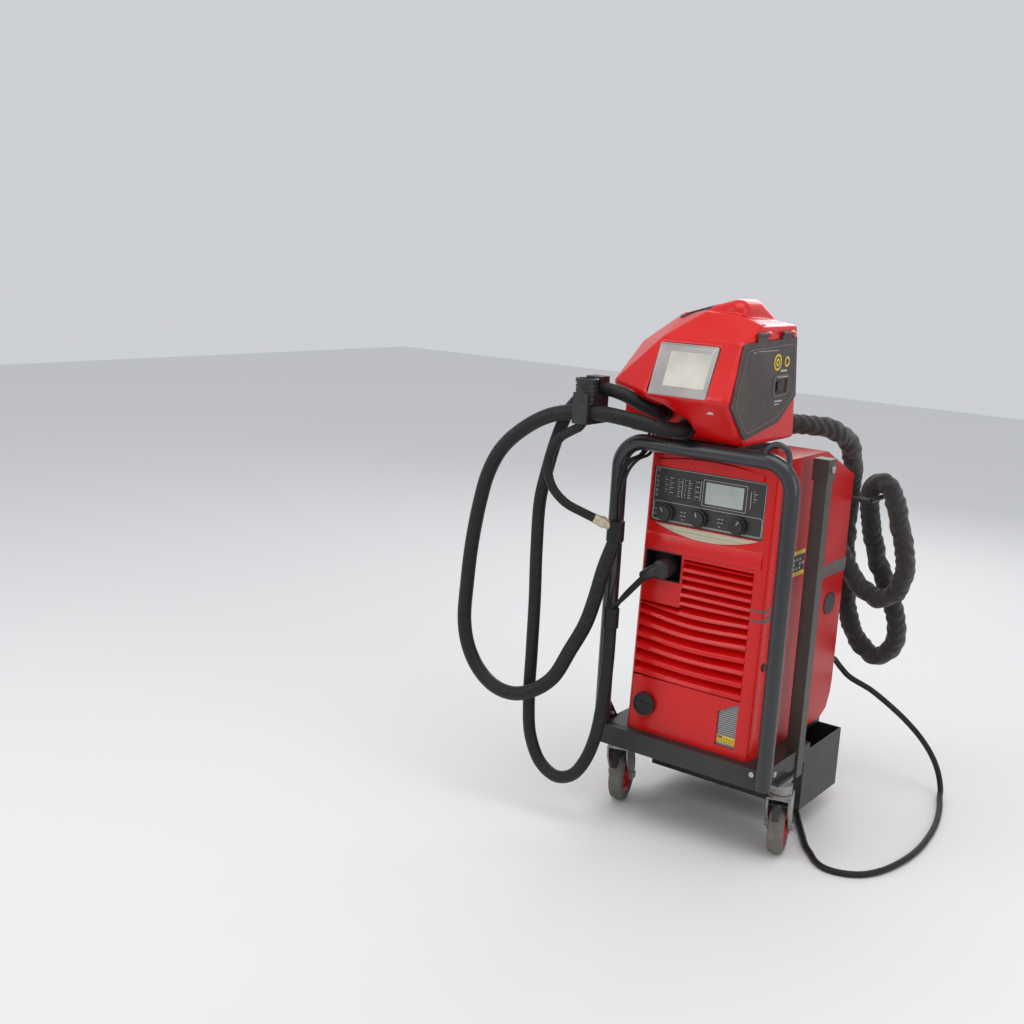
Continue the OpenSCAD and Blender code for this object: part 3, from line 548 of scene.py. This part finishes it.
def sleeveFolds(s, a):
    # cross folds of the loose sleeve: a crease every few centimetres that turns round it, and small puckers
    big = 0.0022 * np.sin(s * 95 + 2.2 * np.sin(a + s * 11)) * (0.55 + 0.45 * np.sin(s * 23 + 1.3))
    small = 0.0011 * np.sin(s * 260 + 3 * np.sin(2 * a - s * 31))
    return big + small - 0.0030


packHose, packPath = hose("sleevedPack", "pack", "hose_pack", 40, crease=sleeveFolds, material="sleeve")


def mainsLine():
    # the lying cable, then seven turns that step up, in and out by one cable width, then the way to the plug
    lead = toFrame(routes["mains"])
    turns = []
    count = 40
    start = math.radians(-8)
    for k, (radius, height) in enumerate(coilSet["rings"][:7]):
        nextR, nextZ = coilSet["rings"][k + 1]
        a = start + 2 * np.pi * (k + np.arange(count) / count)
        step = np.clip((np.arange(count) / count - 0.86) / 0.14, 0, 1)
        step = step * step * (3 - 2 * step)
        rr = radius + (nextR - radius) * step
        zz = height + (nextZ - height) * step
        turns.append(np.stack([coilSet["x"] + rr * np.cos(a), coilSet["y"] + rr * np.sin(a), zz], axis=1))
    tail = [(83, 49, 10), (84, 50, 60), (88, 50.5, 100), (95, 48, 128), (99, 40, 150), (100, 31, 166),
            (100, 26.5, 178)]
    last = np.array([(coilSet["x"] + q * math.cos(math.radians(d)),
                      coilSet["y"] + q * math.sin(math.radians(d)), z) for q, z, d in tail])
    wound = toFrame(np.vstack(turns + [last]))
    return np.vstack([lead, wound])


mainsPath = smoothPath(mainsLine(), 0.006)
mainsPath[:, 2] = np.maximum(mainsPath[:, 2], hoseSet["mains"] / 2)
mainsCable = sweep("mainsLead", mainsPath, hoseSet["mains"] / 2 - 0.0002, 16, "hose_rubber")
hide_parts("mains_cable", "mains_coil")
print("mains cable", round(pathLength(mainsPath), 3), "m; hoses",
      [round(pathLength(p), 3) for p in (mainPath, secondPath, smallPath, packPath)])


# CAD pieces, eased and finished
slotOf = {s["node"]: s["material_slot"] for s in frame["record"]["subparts"]}


easeSet = {"segments": 2, "angle": 32}


def eased(node, width):
    # a merged copy of a CAD piece with its edges rounded a little and its curves shaded smooth
    source = frame["nodes"][node]
    copy = source.copy()
    copy.data = source.data.copy()
    copy.name = node + "_finished"
    copy.parent = None
    for key in list(copy.keys()):
        del copy[key]
    copy.data.name = node + "_finished"
    bpy.context.scene.collection.objects.link(copy)
    weld(copy.data)
    copy.data.materials.clear()
    copy.data.materials.append(mats[slotOf[node]])
    shadeByAngle(copy, easeSet["angle"])
    if width:
        bevel = copy.modifiers.new("edges", "BEVEL")
        bevel.width = width
        bevel.segments = easeSet["segments"]
        bevel.limit_method = "ANGLE"
        bevel.angle_limit = math.radians(easeSet["angle"])
        bevel.harden_normals = True
        bevel.use_clamp_overlap = True
    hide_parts(node)
    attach(copy, source["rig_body"])
    return copy


def weld(mesh):
    # joins the points that the import split and drops edges inside flat faces
    work = bmesh.new()
    work.from_mesh(mesh)
    bmesh.ops.remove_doubles(work, verts=work.verts, dist=0.00001)
    bmesh.ops.dissolve_limit(work, angle_limit=math.radians(0.6), verts=work.verts, edges=work.edges)
    work.to_mesh(mesh)
    work.free()
    mesh.update()


edgeSet = {
    "trolley_tray": 0.0008, "frame_tube": 0.0, "rear_posts": 0.003, "rear_box": 0.0009, "frame_bolts": 0.0008,
    "caster_plates": 0.0010, "fork_left": 0.0010, "fork_right": 0.0010, "hub_left": 0.0010,
    "hub_right": 0.0010, "tyre_left": 0.002, "tyre_right": 0.002, "brake_left": 0.0012, "brake_right": 0.0012,
    "rear_axle": 0.0008, "rear_hub_left": 0.001, "rear_hub_right": 0.001, "rear_tyre_left": 0.002,
    "rear_tyre_right": 0.002, "source_chassis": 0.0, "source_cover": 0.0, "source_rear": 0.0,
    "source_front": 0.0012, "control_panel": 0.0008, "display": 0.0004, "silver_trim": 0.0008,
    "knob_left": 0.0022, "knob_middle": 0.0022, "knob_right": 0.0022, "socket_recess": 0.0012,
    "filler_cap": 0.0025, "level_window": 0.0006, "side_plugs": 0.0010, "mains_switch": 0.0015,
    "cable_gland": 0.0010, "cable_hanger": 0.0010, "fan": 0.0, "coolant_tank": 0.004, "inverter_board": 0.0,
    "transformer": 0.002, "feeder_mount": 0.002, "feeder_display": 0.001, "side_door": 0.0012,
    "door_latch": 0.0012, "wire_spool": 0.001, "drive_block": 0.001, "drive_roll_lower": 0.0006,
    "drive_roll_upper": 0.0006, "hose_clamp": 0.0025, "conduit_boots": 0.0015, "mains_plug": 0.003,
}
finished = {node: eased(node, width) for node, width in edgeSet.items()}
finished["feeder_display"].data.materials[0] = mats["screen"]
print("CAD pieces finished:", len(finished))


# the feeder's moulding: its flat faces and corners are melted together by an even grid and a smoothing pass
shellSet = {"voxel": 0.0020, "passes": 26, "keep": 0.36}


def melted(node, voxel, passes, keep):
    obj = eased(node, 0.0)
    even = obj.modifiers.new("even", "REMESH")
    even.mode = "VOXEL"
    even.voxel_size = voxel
    soft = obj.modifiers.new("soft", "SMOOTH")
    soft.factor = 0.5
    soft.iterations = passes
    fewer = obj.modifiers.new("fewer", "DECIMATE")
    fewer.ratio = keep
    made = bpy.data.meshes.new_from_object(obj.evaluated_get(bpy.context.evaluated_depsgraph_get()))
    made.name = obj.name
    obj.modifiers.clear()
    obj.data = made
    made.materials.clear()
    made.materials.append(mats[slotOf[node]])
    made.shade_smooth()
    return obj


feederShell = melted("feeder_shell", **shellSet)
print("feeder shell", len(feederShell.data.polygons), "faces")


# small moulded and printed pieces
def slabs(name, boxes, lift, material, body="machine", base=0.0, place=onFace):
    # thin raised marks: each (x0, x1, s0, s1) becomes a closed slab, from depth base to lift in front
    b = np.asarray(boxes, float)
    x = b[:, [0, 1, 1, 0, 0, 1, 1, 0]]
    t = b[:, [2, 2, 3, 3, 2, 2, 3, 3]]
    d = np.where(np.arange(8) < 4, base, -lift) * np.ones_like(x)
    verts = toFrame(place(x, d, t).reshape(-1, 3))
    cube = np.array([(0, 1, 2, 3), (7, 6, 5, 4), (4, 5, 1, 0), (5, 6, 2, 1), (6, 7, 3, 2), (7, 4, 0, 3)])
    faces = (cube[None] + 8 * np.arange(len(b))[:, None, None]).reshape(-1, 4)
    return meshPiece(name, verts, faces, material, body, smooth=20)


def ribbonLoop(outline, width):
    # the inner line of a closed outline, moved inwards by width along each corner's bisector
    p = np.asarray(outline, float)
    before, after = np.roll(p, 1, axis=0), np.roll(p, -1, axis=0)
    a = (p - before) / np.linalg.norm(p - before, axis=1)[:, None]
    b = (after - p) / np.linalg.norm(after - p, axis=1)[:, None]
    na, nb = np.stack([-a[:, 1], a[:, 0]], 1), np.stack([-b[:, 1], b[:, 0]], 1)
    mid = na + nb
    mid /= np.linalg.norm(mid, axis=1)[:, None]
    area = 0.5 * np.sum(p[:, 0] * after[:, 1] - p[:, 1] * after[:, 0])
    grow = np.clip(1.0 / np.maximum(np.sum(mid * na, axis=1), 0.5), 1, 2)[:, None]
    return p + np.sign(area) * mid * width * grow


def roundCorners(points, radius, steps=5):
    # each corner of a closed outline becomes a short quadratic curve that starts and ends radius away from it
    p = np.asarray(points, float)
    out = []
    for i in range(len(p)):
        a, c, b = p[i - 1], p[i], p[(i + 1) % len(p)]
        ra = min(radius, 0.45 * np.linalg.norm(a - c))
        rb = min(radius, 0.45 * np.linalg.norm(b - c))
        s0 = c + (a - c) / np.linalg.norm(a - c) * ra
        s1 = c + (b - c) / np.linalg.norm(b - c) * rb
        u = np.linspace(0, 1, steps + 1)[:, None]
        out.append((1 - u) ** 2 * s0 + 2 * u * (1 - u) * c + u ** 2 * s1)
    return np.vstack(out)


def outlineRing(name, outline, width, lift, material, body, place, base=0.0):
    # a closed flat ring: outer line, the line width inside it, both raised by lift
    outer = np.asarray(outline, float)
    inner = ribbonLoop(outer, width)
    n = len(outer)
    rows = [place(outer[:, 0], base, outer[:, 1]), place(outer[:, 0], -lift, outer[:, 1]),
            place(inner[:, 0], -lift, inner[:, 1]), place(inner[:, 0], base, inner[:, 1])]
    verts = toFrame(np.concatenate(rows))
    return meshPiece(name, verts, gridFaces(4, n, closeRows=True, closeCols=True), material, body)


def flatShape(name, outline, lift, material, body, place, base=0.0):
    # a closed plate with the given outline
    o = np.asarray(outline, float)
    n = len(o)
    verts = toFrame(np.concatenate([place(o[:, 0], base, o[:, 1]), place(o[:, 0], -lift, o[:, 1])]))
    k = np.arange(n)
    sides = np.stack([k, (k + 1) % n, (k + 1) % n + n, k + n], axis=1)
    faces = [tuple(f) for f in sides] + [tuple(k[::-1]), tuple(k + n)]
    return meshPiece(name, verts, faces, material, body)


def circle(x, s, radius, steps=48):
    # the points of a circle round (x, s)
    a = np.linspace(0, 2 * np.pi, steps, endpoint=False)
    return np.stack([x + radius * np.cos(a), s + radius * np.sin(a)], 1)


def cappedStrip(n, columns):
    # the faces of a grid that closes round its rows, with a cap at each end of its columns
    k = np.arange(n) * columns
    faces = [tuple(f) for f in gridFaces(n, columns, closeRows=True)]
    return faces + [tuple(k), tuple((k + columns - 1)[::-1])]


def box2(x0, x1, s0, s1):
    # the four corners of a rectangle
    return [(x0, s0), (x1, s0), (x1, s1), (x0, s1)]


# the louvres: heights of each lip at the right and left ends, how far its middle sags, and its depth in mm
louvreSet = {
    "right": [613, 595, 578, 559, 540, 523, 503, 481, 458, 429, 403, 376, 349],
    "left": [613, 595, 578, 559, 540, 523, 509, 487, 460, 434, 407, 379, 351],
    "sag": [0, 0, 0, 0, 0, 2, 9, 9, 8, 7, 5, 4, 2],
    "deep": 16.0, "proud": 2.2, "back": 17.5, "foot": 345.2, "tallest": 27.0,
    # heights within one louvre as parts of its pitch, and the depths there: parts of deep, or a fifth of
    # proud where negative
    "share": [0.78, 0.42, 0.34, 0.08, -0.02, -0.05], "depth": [1.0, 0.20, 0.02, -0.2, -0.16, 1.0],
}


def louvreBlock(name, x0, x1, first, topZ, columns):
    # every lip is a line across; above it a ramp runs back and up to the next lip's dark underside
    q = louvreSet
    right, left, sag = (np.asarray(q[k][first:], float) for k in ("right", "left", "sag"))
    x = np.linspace(x0, x1, columns)
    f = (x + 150.0) / 265.0
    dip = np.sin(np.pi * np.clip(f, 0, 1)) ** 1.3
    lips = left[:, None] + (right - left)[:, None] * f - sag[:, None] * dip
    above = np.vstack([np.full(columns, float(topZ)), lips[:-1]])
    gap = np.minimum(above - lips, q["tallest"])
    share, depth = np.array(q["share"]), np.array(q["depth"])
    depth = np.where(depth < 0, depth * 5 * q["proud"], depth * q["deep"])
    z = lips[:, None, :] + share[None, :, None] * gap[:, None, :]
    d = np.broadcast_to(depth[None, :, None], z.shape)
    z, d = z.reshape(-1, columns), d.reshape(-1, columns)
    top, low = np.full((1, columns), float(topZ)), np.full((1, columns), q["foot"])
    z = np.concatenate([top, z, low, low, top])
    deep, back = 0 * top + q["deep"], 0 * top + q["back"]
    d = np.concatenate([deep, d, deep, back, back])
    t = (np.maximum(z, q["foot"]) - faceFoot) / math.cos(faceLean)
    verts = toFrame(onFace(x[None] + 0 * z, d, t).reshape(-1, 3))
    obj = meshPiece(name, verts, cappedStrip(len(z), columns), "red_plastic")
    return obj


louvreRight = louvreBlock("louvreRight", -45.8, 117.8, 0, 620.5, 60)
louvreLeft = louvreBlock("louvreLeft", -141.8, -45.8, 6, 513.5, 40)
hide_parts("louvre_panel")


# the hood line under the control panel, and the print on the panel
def faceProfile(name, profile, x0, x1, material, bend=0.0, columns=40):
    # a (distance along the face, depth) profile carried across the face; bend lifts its middle
    q = np.asarray(profile, float)
    x = np.linspace(x0, x1, columns)
    lift = bend * (1 - ((x - (x0 + x1) / 2) / ((x1 - x0) / 2)) ** 2)
    t = q[:, 0][:, None] + lift[None]
    d = q[:, 1][:, None] + 0 * x[None]
    grid = onFace(x[None] + 0 * d, d, t)
    return meshPiece(name, toFrame(grid.reshape(-1, 3)), cappedStrip(len(q), columns), material)


hoodBand = faceProfile("hoodBand", [(445, 0.3), (441, -1.6), (412, -3.4), (409.2, -3.0), (408.6, 0.3)], -143,
                       132, "red_plastic")
browBand = faceProfile("browBand", [(604, 0.3), (600, -3.6), (594, -4.6), (591, -3.8), (590, 0.3)], -128, 116,
                       "red_plastic", bend=13)

panelFace = 3.0
printLines = []
for x, rows, wide in ((-108, 7, 5), (-98, 8, 10), (-78, 8, 9), (-62, 8, 4), (-53, 8, 10), (-36, 8, 9),
                      (98, 5, 10)):
    printLines += [(x, x + wide * (0.55 + 0.45 * math.sin(3.1 * k + x)), 566 - 5.2 * k, 567.4 - 5.2 * k)
                   for k in range(rows)]
printLines += [(x + dx, x + dx + 5, 489 + dy, 490.3 + dy) for x in (-66, 22)
               for dx, dy in ((0, 8), (8, 8), (0, 0), (8, 0), (3, -8))]
printLines += [(-68, -67.2, 528, 570), (-24, -23.2, 528, 570), (92, 93, 530, 566)]
slabs("panelPrint", printLines, 0.25, "label_line", base=panelFace)
for n, (x0, x1, s0, s1, r0) in enumerate(((-136, 124, 472, 586, 5), (-134, 122, 474, 514, 7),
                                          (-20, 82, 519, 575, 3))):
    outlineRing(f"panelLine{n}", roundCorners(box2(x0, x1, s0, s1), r0), 1.1, 0.25 - panelFace, "label_line",
                "machine", onFace, base=panelFace)
knobSet = {"x": (-101, -21, 70), "s": 491}
capSet = {"x": -106, "s": 63}
iconSet = [(-129, 580, 3.6), (-129, 566, 2.6), (-129, 556, 2.6), (-129, 546, 2.6), (-129, 536, 2.6),
           (-129, 526, 2.6), (-128, 496, 2.4), (-128, 486, 2.4)]
for n, (x, t, radius) in enumerate(iconSet):
    outlineRing(f"panelIcon{n}", circle(x, t, radius, 16), 0.8, 0.25 - panelFace, "label_white", "machine",
                onFace, base=panelFace)


# knob pointers, the cap's rim, the stripes round the edge and the labels
def onSide(y, depth, z):
    # a point of the right side: y back from the front's foot, depth inwards, z up
    y, depth, z = np.broadcast_arrays(np.asarray(y, float), depth, z)
    return np.stack([150.0 - depth, y, z], axis=-1)


def knobPointer(name, x, s, angle, body):
    # a raised line on the knob's face, from near its middle to its rim
    c, n = math.cos(math.radians(angle)), math.sin(math.radians(angle))
    along, across = np.array([c, n]), np.array([-n, c])
    o = [along * 4 + across * 1, along * 13.5 + across * 1, along * 13.5 - across * 1, along * 4 - across * 1]
    return flatShape(name, [(x + q[0], s + q[1]) for q in o], 14.4, "label_white", body, onFace, base=-13.9)


for x, angle, body in zip(knobSet["x"], (120, 100, 60), ("dial_left", "dial_middle", "dial_right")):
    knobPointer(body + "Pointer", x, knobSet["s"], angle, body)
outlineRing("capRim", circle(capSet["x"], capSet["s"], 25.2), 4.0, 11.0, "black_plastic", "cap", onFace,
            base=-8.8)
gripBar = box2(capSet["x"] - 19, capSet["x"] + 19, capSet["s"] - 3.5, capSet["s"] + 3.5)
flatShape("capGrip", roundCorners(gripBar, 3), 10.6, "black_plastic", "cap", onFace, base=-8.8)


def wrapStrip(name, low, high, xStart, backEnd, material, lift=0.3):
    # a thin strip that starts on the front face, turns round its rounded right edge and ends on its side;
    # low and high give its lower and upper heights at the start, the edge and the end
    r = 11.0
    a = np.radians(np.linspace(-90, 0, 9))
    x = np.concatenate([np.linspace(xStart, 138, 5), 139 + r * np.cos(a), np.full(4, 150.0)])
    d = np.concatenate([np.zeros(5), r + r * np.sin(a), np.linspace(r + 3, backEnd, 4)])
    nx = np.concatenate([np.zeros(5), np.cos(a), np.ones(4)])
    nd = np.concatenate([-np.ones(5), np.sin(a), np.zeros(4)])
    u = np.concatenate([[0], np.cumsum(np.hypot(np.diff(x), np.diff(d)))])
    edge = u[8]
    zl = np.interp(u, [0, edge, u[-1]], low)
    zh = np.interp(u, [0, edge, u[-1]], high)
    rows = [(x, d, zl), (x + lift * nx, d + lift * nd, zl), (x + lift * nx, d + lift * nd, zh), (x, d, zh)]
    grid = np.stack([onFace(xx, dd, zz - faceFoot) for xx, dd, zz in rows])
    return meshPiece(name, toFrame(grid.reshape(-1, 3)), cappedStrip(4, len(x)), material, smooth=35)


wrapStrip("edgeStripeHigh", (543.5, 542, 551), (546.5, 548, 557), 114, 57, "band_grey")
wrapStrip("edgeStripeLow", (523.5, 522, 525), (526.5, 528, 550), 112, 57, "band_grey")
flatShape("sideBand", [(281, 566), (424, 566), (424, 597), (281, 597)], 0.3, "band_grey", "machine", onSide)

labelSet = {"y0": 124, "y1": 186, "z0": 599, "z1": 654}
q = labelSet
flatShape("sideLabel", box2(q["y0"], q["y1"], q["z0"], q["z1"]), 0.3, "label_black", "machine", onSide)
sideBars = [(q["y0"], q["y1"], q["z0"], q["z0"] + 9), (q["y0"], q["y1"], q["z1"] - 9, q["z1"])]
slabs("sideLabelBars", sideBars, 0.5, "label_yellow", base=-0.2, place=onSide)
sideMarks = [(y, y + 8, z, z + 6) for y, z in [(q["y0"] + 6 + 15 * i, q["z0"] + 13 + 9.5 * k)
                                               for i in range(4) for k in range(3) if (i + 2 * k) % 4 != 3]]
slabs("sideLabelMarks", sideMarks, 0.5, "label_white", base=-0.2, place=onSide)
slabs("windowLabel", [(72, 114, 25, 40)], -3.6, "label_yellow", base=4.2)
windowMarks = [(75 + 6.4 * i, 79 + 6.4 * i, 28 + 5.2 * k, 29.8 + 5.2 * k) for i in range(6) for k in range(2)]
slabs("windowLabelMarks", windowMarks + [(74, 84, 36, 39)], -3.4, "label_black", base=3.7)


# the feeder's window frame, its door's print and grip, and the lining of its handle slot
def onSlope(x, depth, s):
    # a point of the feeder's sloping front: x across, depth behind it, s up along it from its chin
    x, depth, s = np.broadcast_arrays(np.asarray(x, float), depth, s)
    c, n = math.cos(math.radians(-22.6)), math.sin(math.radians(-22.6))
    return np.stack([x, -104 + depth * c - s * n, 962 + depth * n + s * c], axis=-1)


windowSet = {"x": -34, "s": 70, "outer": (132, 111), "inner": (94, 74), "shift": (6, 4), "deep": 4.9,
             "corner": 5}


def slopingFrame(name, q, material):
    # nested outlines from the rim at the front to the screen at the back, joined into a closed funnel
    def line(size, dx, ds, r):
        w, h = size[0] / 2, size[1] / 2
        return roundCorners(box2(q["x"] + dx - w, q["x"] + dx + w, q["s"] + ds - h, q["s"] + ds + h), r)

    outer = line(q["outer"], 0, 0, q["corner"])
    rim = line([v - 3 for v in q["outer"]], 0, 0, q["corner"])
    step = line([v - 5 for v in q["outer"]], 0, 0, q["corner"])
    inner = line(q["inner"], *q["shift"], 3)
    rows = [(outer, 5.5), (outer, -0.6), (rim, -1.2), (step, 0.6), (inner, q["deep"]), (inner, 6.5)]
    grid = np.stack([onSlope(o[:, 0], d, o[:, 1]) for o, d in rows])
    return meshPiece(name, toFrame(grid.reshape(-1, 3)),
                     gridFaces(len(rows), len(outer), closeRows=True, closeCols=True), material, smooth=25)


windowFrame = slopingFrame("feederWindowFrame", windowSet, "window_lens")
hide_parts("feeder_window")

doorFace = 88.0


def onDoor(y, depth, z):
    # a point of the side door: y back, depth inwards, z up
    y, depth, z = np.broadcast_arrays(np.asarray(y, float), depth, z)
    return np.stack([doorFace - depth, y, z], axis=-1)


doorLine = roundCorners([(-43, 1076), (170, 1085), (187, 979), (121, 934), (-20, 908), (-79, 968)], 16)
outlineRing("doorOutline", doorLine, 1.6, 0.7, "door_line", "door", onDoor, base=-0.1)
gripLine = roundCorners([(84, 1020), (156, 1022), (156, 980), (84, 976)], 14)
outlineRing("gripOutline", gripLine, 2.2, 1.2, "door_line", "door", onDoor, base=-0.1)
slabs("doorPrint", [(112, 142, 1028, 1032), (104, 152, 1016, 1018), (96, 132, 966, 969), (96, 120, 960, 962),
                    (-18, -8, 1070, 1071.5), (2, 96, 1072, 1073)],
      0.5, "label_white", body="door", base=-0.1, place=onDoor)
for n, (y, radius) in enumerate(((96, 17), (96, 8), (140, 11))):
    outlineRing(f"doorRing{n}", circle(y, 1048, radius), 4.0, 0.5, "label_yellow", "door", onDoor, base=-0.1)

slotSet = {"x": (-107.6, -42.4), "y": (34.4, 63.6), "low": 1112.0, "high": 1131.0, "wall": 1.6}


def openTub(name, q, material):
    # a rectangular cup: outer wall, rim, inner wall and floor as nested rows
    def ring(shrink):
        return box2(q["x"][0] + shrink, q["x"][1] - shrink, q["y"][0] + shrink, q["y"][1] - shrink)
    rows = [(0, q["low"]), (0, q["high"]), (q["wall"], q["high"]), (q["wall"], q["low"] + q["wall"])]
    verts = np.array([[(x, y, z) for x, y in ring(shrink)] for shrink, z in rows]).reshape(-1, 3)
    faces = [tuple(f) for f in gridFaces(4, 4, closeCols=True)] + [(3, 2, 1, 0), (12, 13, 14, 15)]
    return meshPiece(name, toFrame(verts), faces, material, smooth=20)


openTub("handleSlotLining", slotSet, "black_plastic")


def slotRim(name, q, shell, width, lift, material):
    # a flat rim round the slot on the plane that best fits the shell just outside it
    (x0, x1), (y0, y1) = q["x"], q["y"]
    outer = roundCorners(box2(x0 - width, x1 + width, y0 - width, y1 + width), 7)
    inner = roundCorners(box2(x0 + 1, x1 - 1, y0 + 1, y1 - 1), 7)
    start = toFrame(np.column_stack([outer, np.full(len(outer), 1250.0)]))
    hits = [shell.ray_cast(Vector(v), Vector((0, 0, -1))) for v in start]
    found = np.array([(o[0], o[1], 1, h[1][2] * 1000) for o, h in zip(outer, hits) if h[0]])
    plane = np.linalg.lstsq(found[:, :3], found[:, 3], rcond=None)[0]

    def at(o, up):
        return np.column_stack([o, o @ plane[:2] + plane[2] + up])
    rows = [at(outer, -4), at(outer, lift * 0.5), at(outer * 0.97 + inner * 0.03, lift), at(inner, lift),
            at(inner, -4)]
    return meshPiece(name, toFrame(np.concatenate(rows)),
                     gridFaces(len(rows), len(outer), closeRows=True, closeCols=True), material)


slotRim("handleSlotRim", slotSet, feederShell, 4.5, 1.6, "black_plastic")


def onChin(x, depth, s):
    # the foot of the sloping front, under the window
    return onSlope(x, depth, s - 14)


slabs("chinMark", [(44, 58, 2, 4.5), (47, 55, 5.5, 6.5)], 0.9, "label_white", base=-0.2, place=onChin)


# the ribbed cuff that the lead to the far end comes out of
cuffSet = {"at": (-212, -150, 944), "ribs": 5, "pitch": 0.0085}
cuffRows = [(0.0, 0.0166), (0.0, 0.0225)]
for k in range(cuffSet["ribs"]):
    ribFoot = k * cuffSet["pitch"]
    cuffRows += [(ribFoot + 0.0015, 0.0232), (ribFoot + 0.0055, 0.0232), (ribFoot + 0.0062, 0.0214),
                 (ribFoot + 0.0082, 0.0214)]
cuffRows += [(0.0465, 0.0242), (0.0520, 0.0242), (0.0530, 0.0230), (0.0530, 0.0166)]
turnedTube("leadCuff", toFrame(cuffSet["at"])[0], (0, 0, 1), cuffRows, 40, "black_plastic")


# leads
leadSet = {
    "plugLeads": [[(-124, -6, 577), (-138, -20, 556), (-152, -43, 530), (-164, -64, 498)],
                  [(-120, -14, 572), (-134, -30, 550), (-150, -52, 524), (-170, -72, 498)]],
    "risers": [[(-172, -65, 688), (-176, -60, 750), (-171, -50, 800), (-160, -32, 826), (-149, -8, 838),
                (-143, 8, 862), (-140, 10, 889)],
               [(-164, -66, 688), (-166, -62, 750), (-160, -50, 802), (-150, -30, 826), (-139, -6, 836),
                (-132, 10, 862), (-129, 12, 889)],
               [(-178, -58, 688), (-184, -52, 750), (-180, -48, 796), (-168, -34, 822), (-158, -10, 832),
                (-153, 8, 858), (-150, 10, 889)]],
}
elbowPath = smoothPath(toFrame([(-84, 2, 596), (-90, -8, 594), (-102, -13, 588), (-115, -13, 580),
                                (-128, -11, 572)]), 0.003)
elbowAlong = np.linspace(0, 1, len(elbowPath))
plugElbow = sweep("plugElbow", elbowPath,
                  np.interp(elbowAlong, [0, 0.3, 0.8, 1], [0.0165, 0.0150, 0.0125, 0.0115]), 28,
                  "black_plastic", crease=lambda s, a: 0.0006 * np.sin(s * 1100) * (s > 0.022) + 0 * a)
plugCap = turned("plugCap", toFrame((-84, 5, 596))[0], (0, -1, -0.04),
                 [(0, 0.0205), (0.004, 0.0215), (0.020, 0.0212), (0.024, 0.0195), (0.026, 0.0150),
                  (0.0265, 0.004)], 40, "black_plastic")
for group, diameter in (("plugLeads", 0.0095), ("risers", 0.0070)):
    for n, route in enumerate(leadSet[group]):
        path = smoothPath(toFrame(route), 0.004)
        lead = sweep(f"{group}{n}", path, diameter / 2, 12, "hose_rubber")

print("printed and moulded details made")


# floor and light
def stageFloor():
    mesh = bpy.data.meshes.new("floor")
    s = 9.0
    mesh.from_pydata([(-s, -s, 0), (s, -s, 0), (s, s, 0), (-s, s, 0)], [], [(0, 1, 2, 3)])
    obj = bpy.data.objects.new("floor", mesh)
    bpy.context.scene.collection.objects.link(obj)
    r = Recipe("paleFloor", (0.80, 0.80, 0.79), 0.0, 0.75)
    mesh.materials.append(r.mat)


def areaLight(name, place, aim, size, power, tint=(1, 1, 1)):
    # a soft rectangular lamp that faces the point aim; power in watts
    data = bpy.data.lights.new(name, "AREA")
    data.shape = "RECTANGLE"
    data.size, data.size_y = size
    data.energy = power
    data.color = tint
    obj = bpy.data.objects.new(name, data)
    bpy.context.scene.collection.objects.link(obj)
    obj.location = place
    obj.rotation_euler = (Vector(aim) - Vector(place)).to_track_quat("-Z", "Y").to_euler()


stageFloor()
areaLight("overhead", (0.5, -1.0, 3.4), (0, 0, 0.6), (3.0, 2.0), 40, (1.0, 0.99, 0.97))
areaLight("frontLeft", (-2.4, -3.0, 2.2), (0, 0, 0.6), (1.6, 2.2), 30, (0.97, 0.985, 1.0))
areaLight("rightFill", (3.2, -0.6, 1.7), (0, 0, 0.6), (1.4, 2.4), 20, (1.0, 0.985, 0.96))
areaLight("behind", (-0.8, 3.0, 2.4), (0, 0, 0.7), (2.0, 1.6), 26)
world = bpy.data.worlds.new("world")
bpy.context.scene.world = world
world.use_nodes = True
world.node_tree.nodes["Background"].inputs["Color"].default_value = (0.93, 0.95, 1.0, 1.0)
world.node_tree.nodes["Background"].inputs["Strength"].default_value = 0.66
print("stage set")
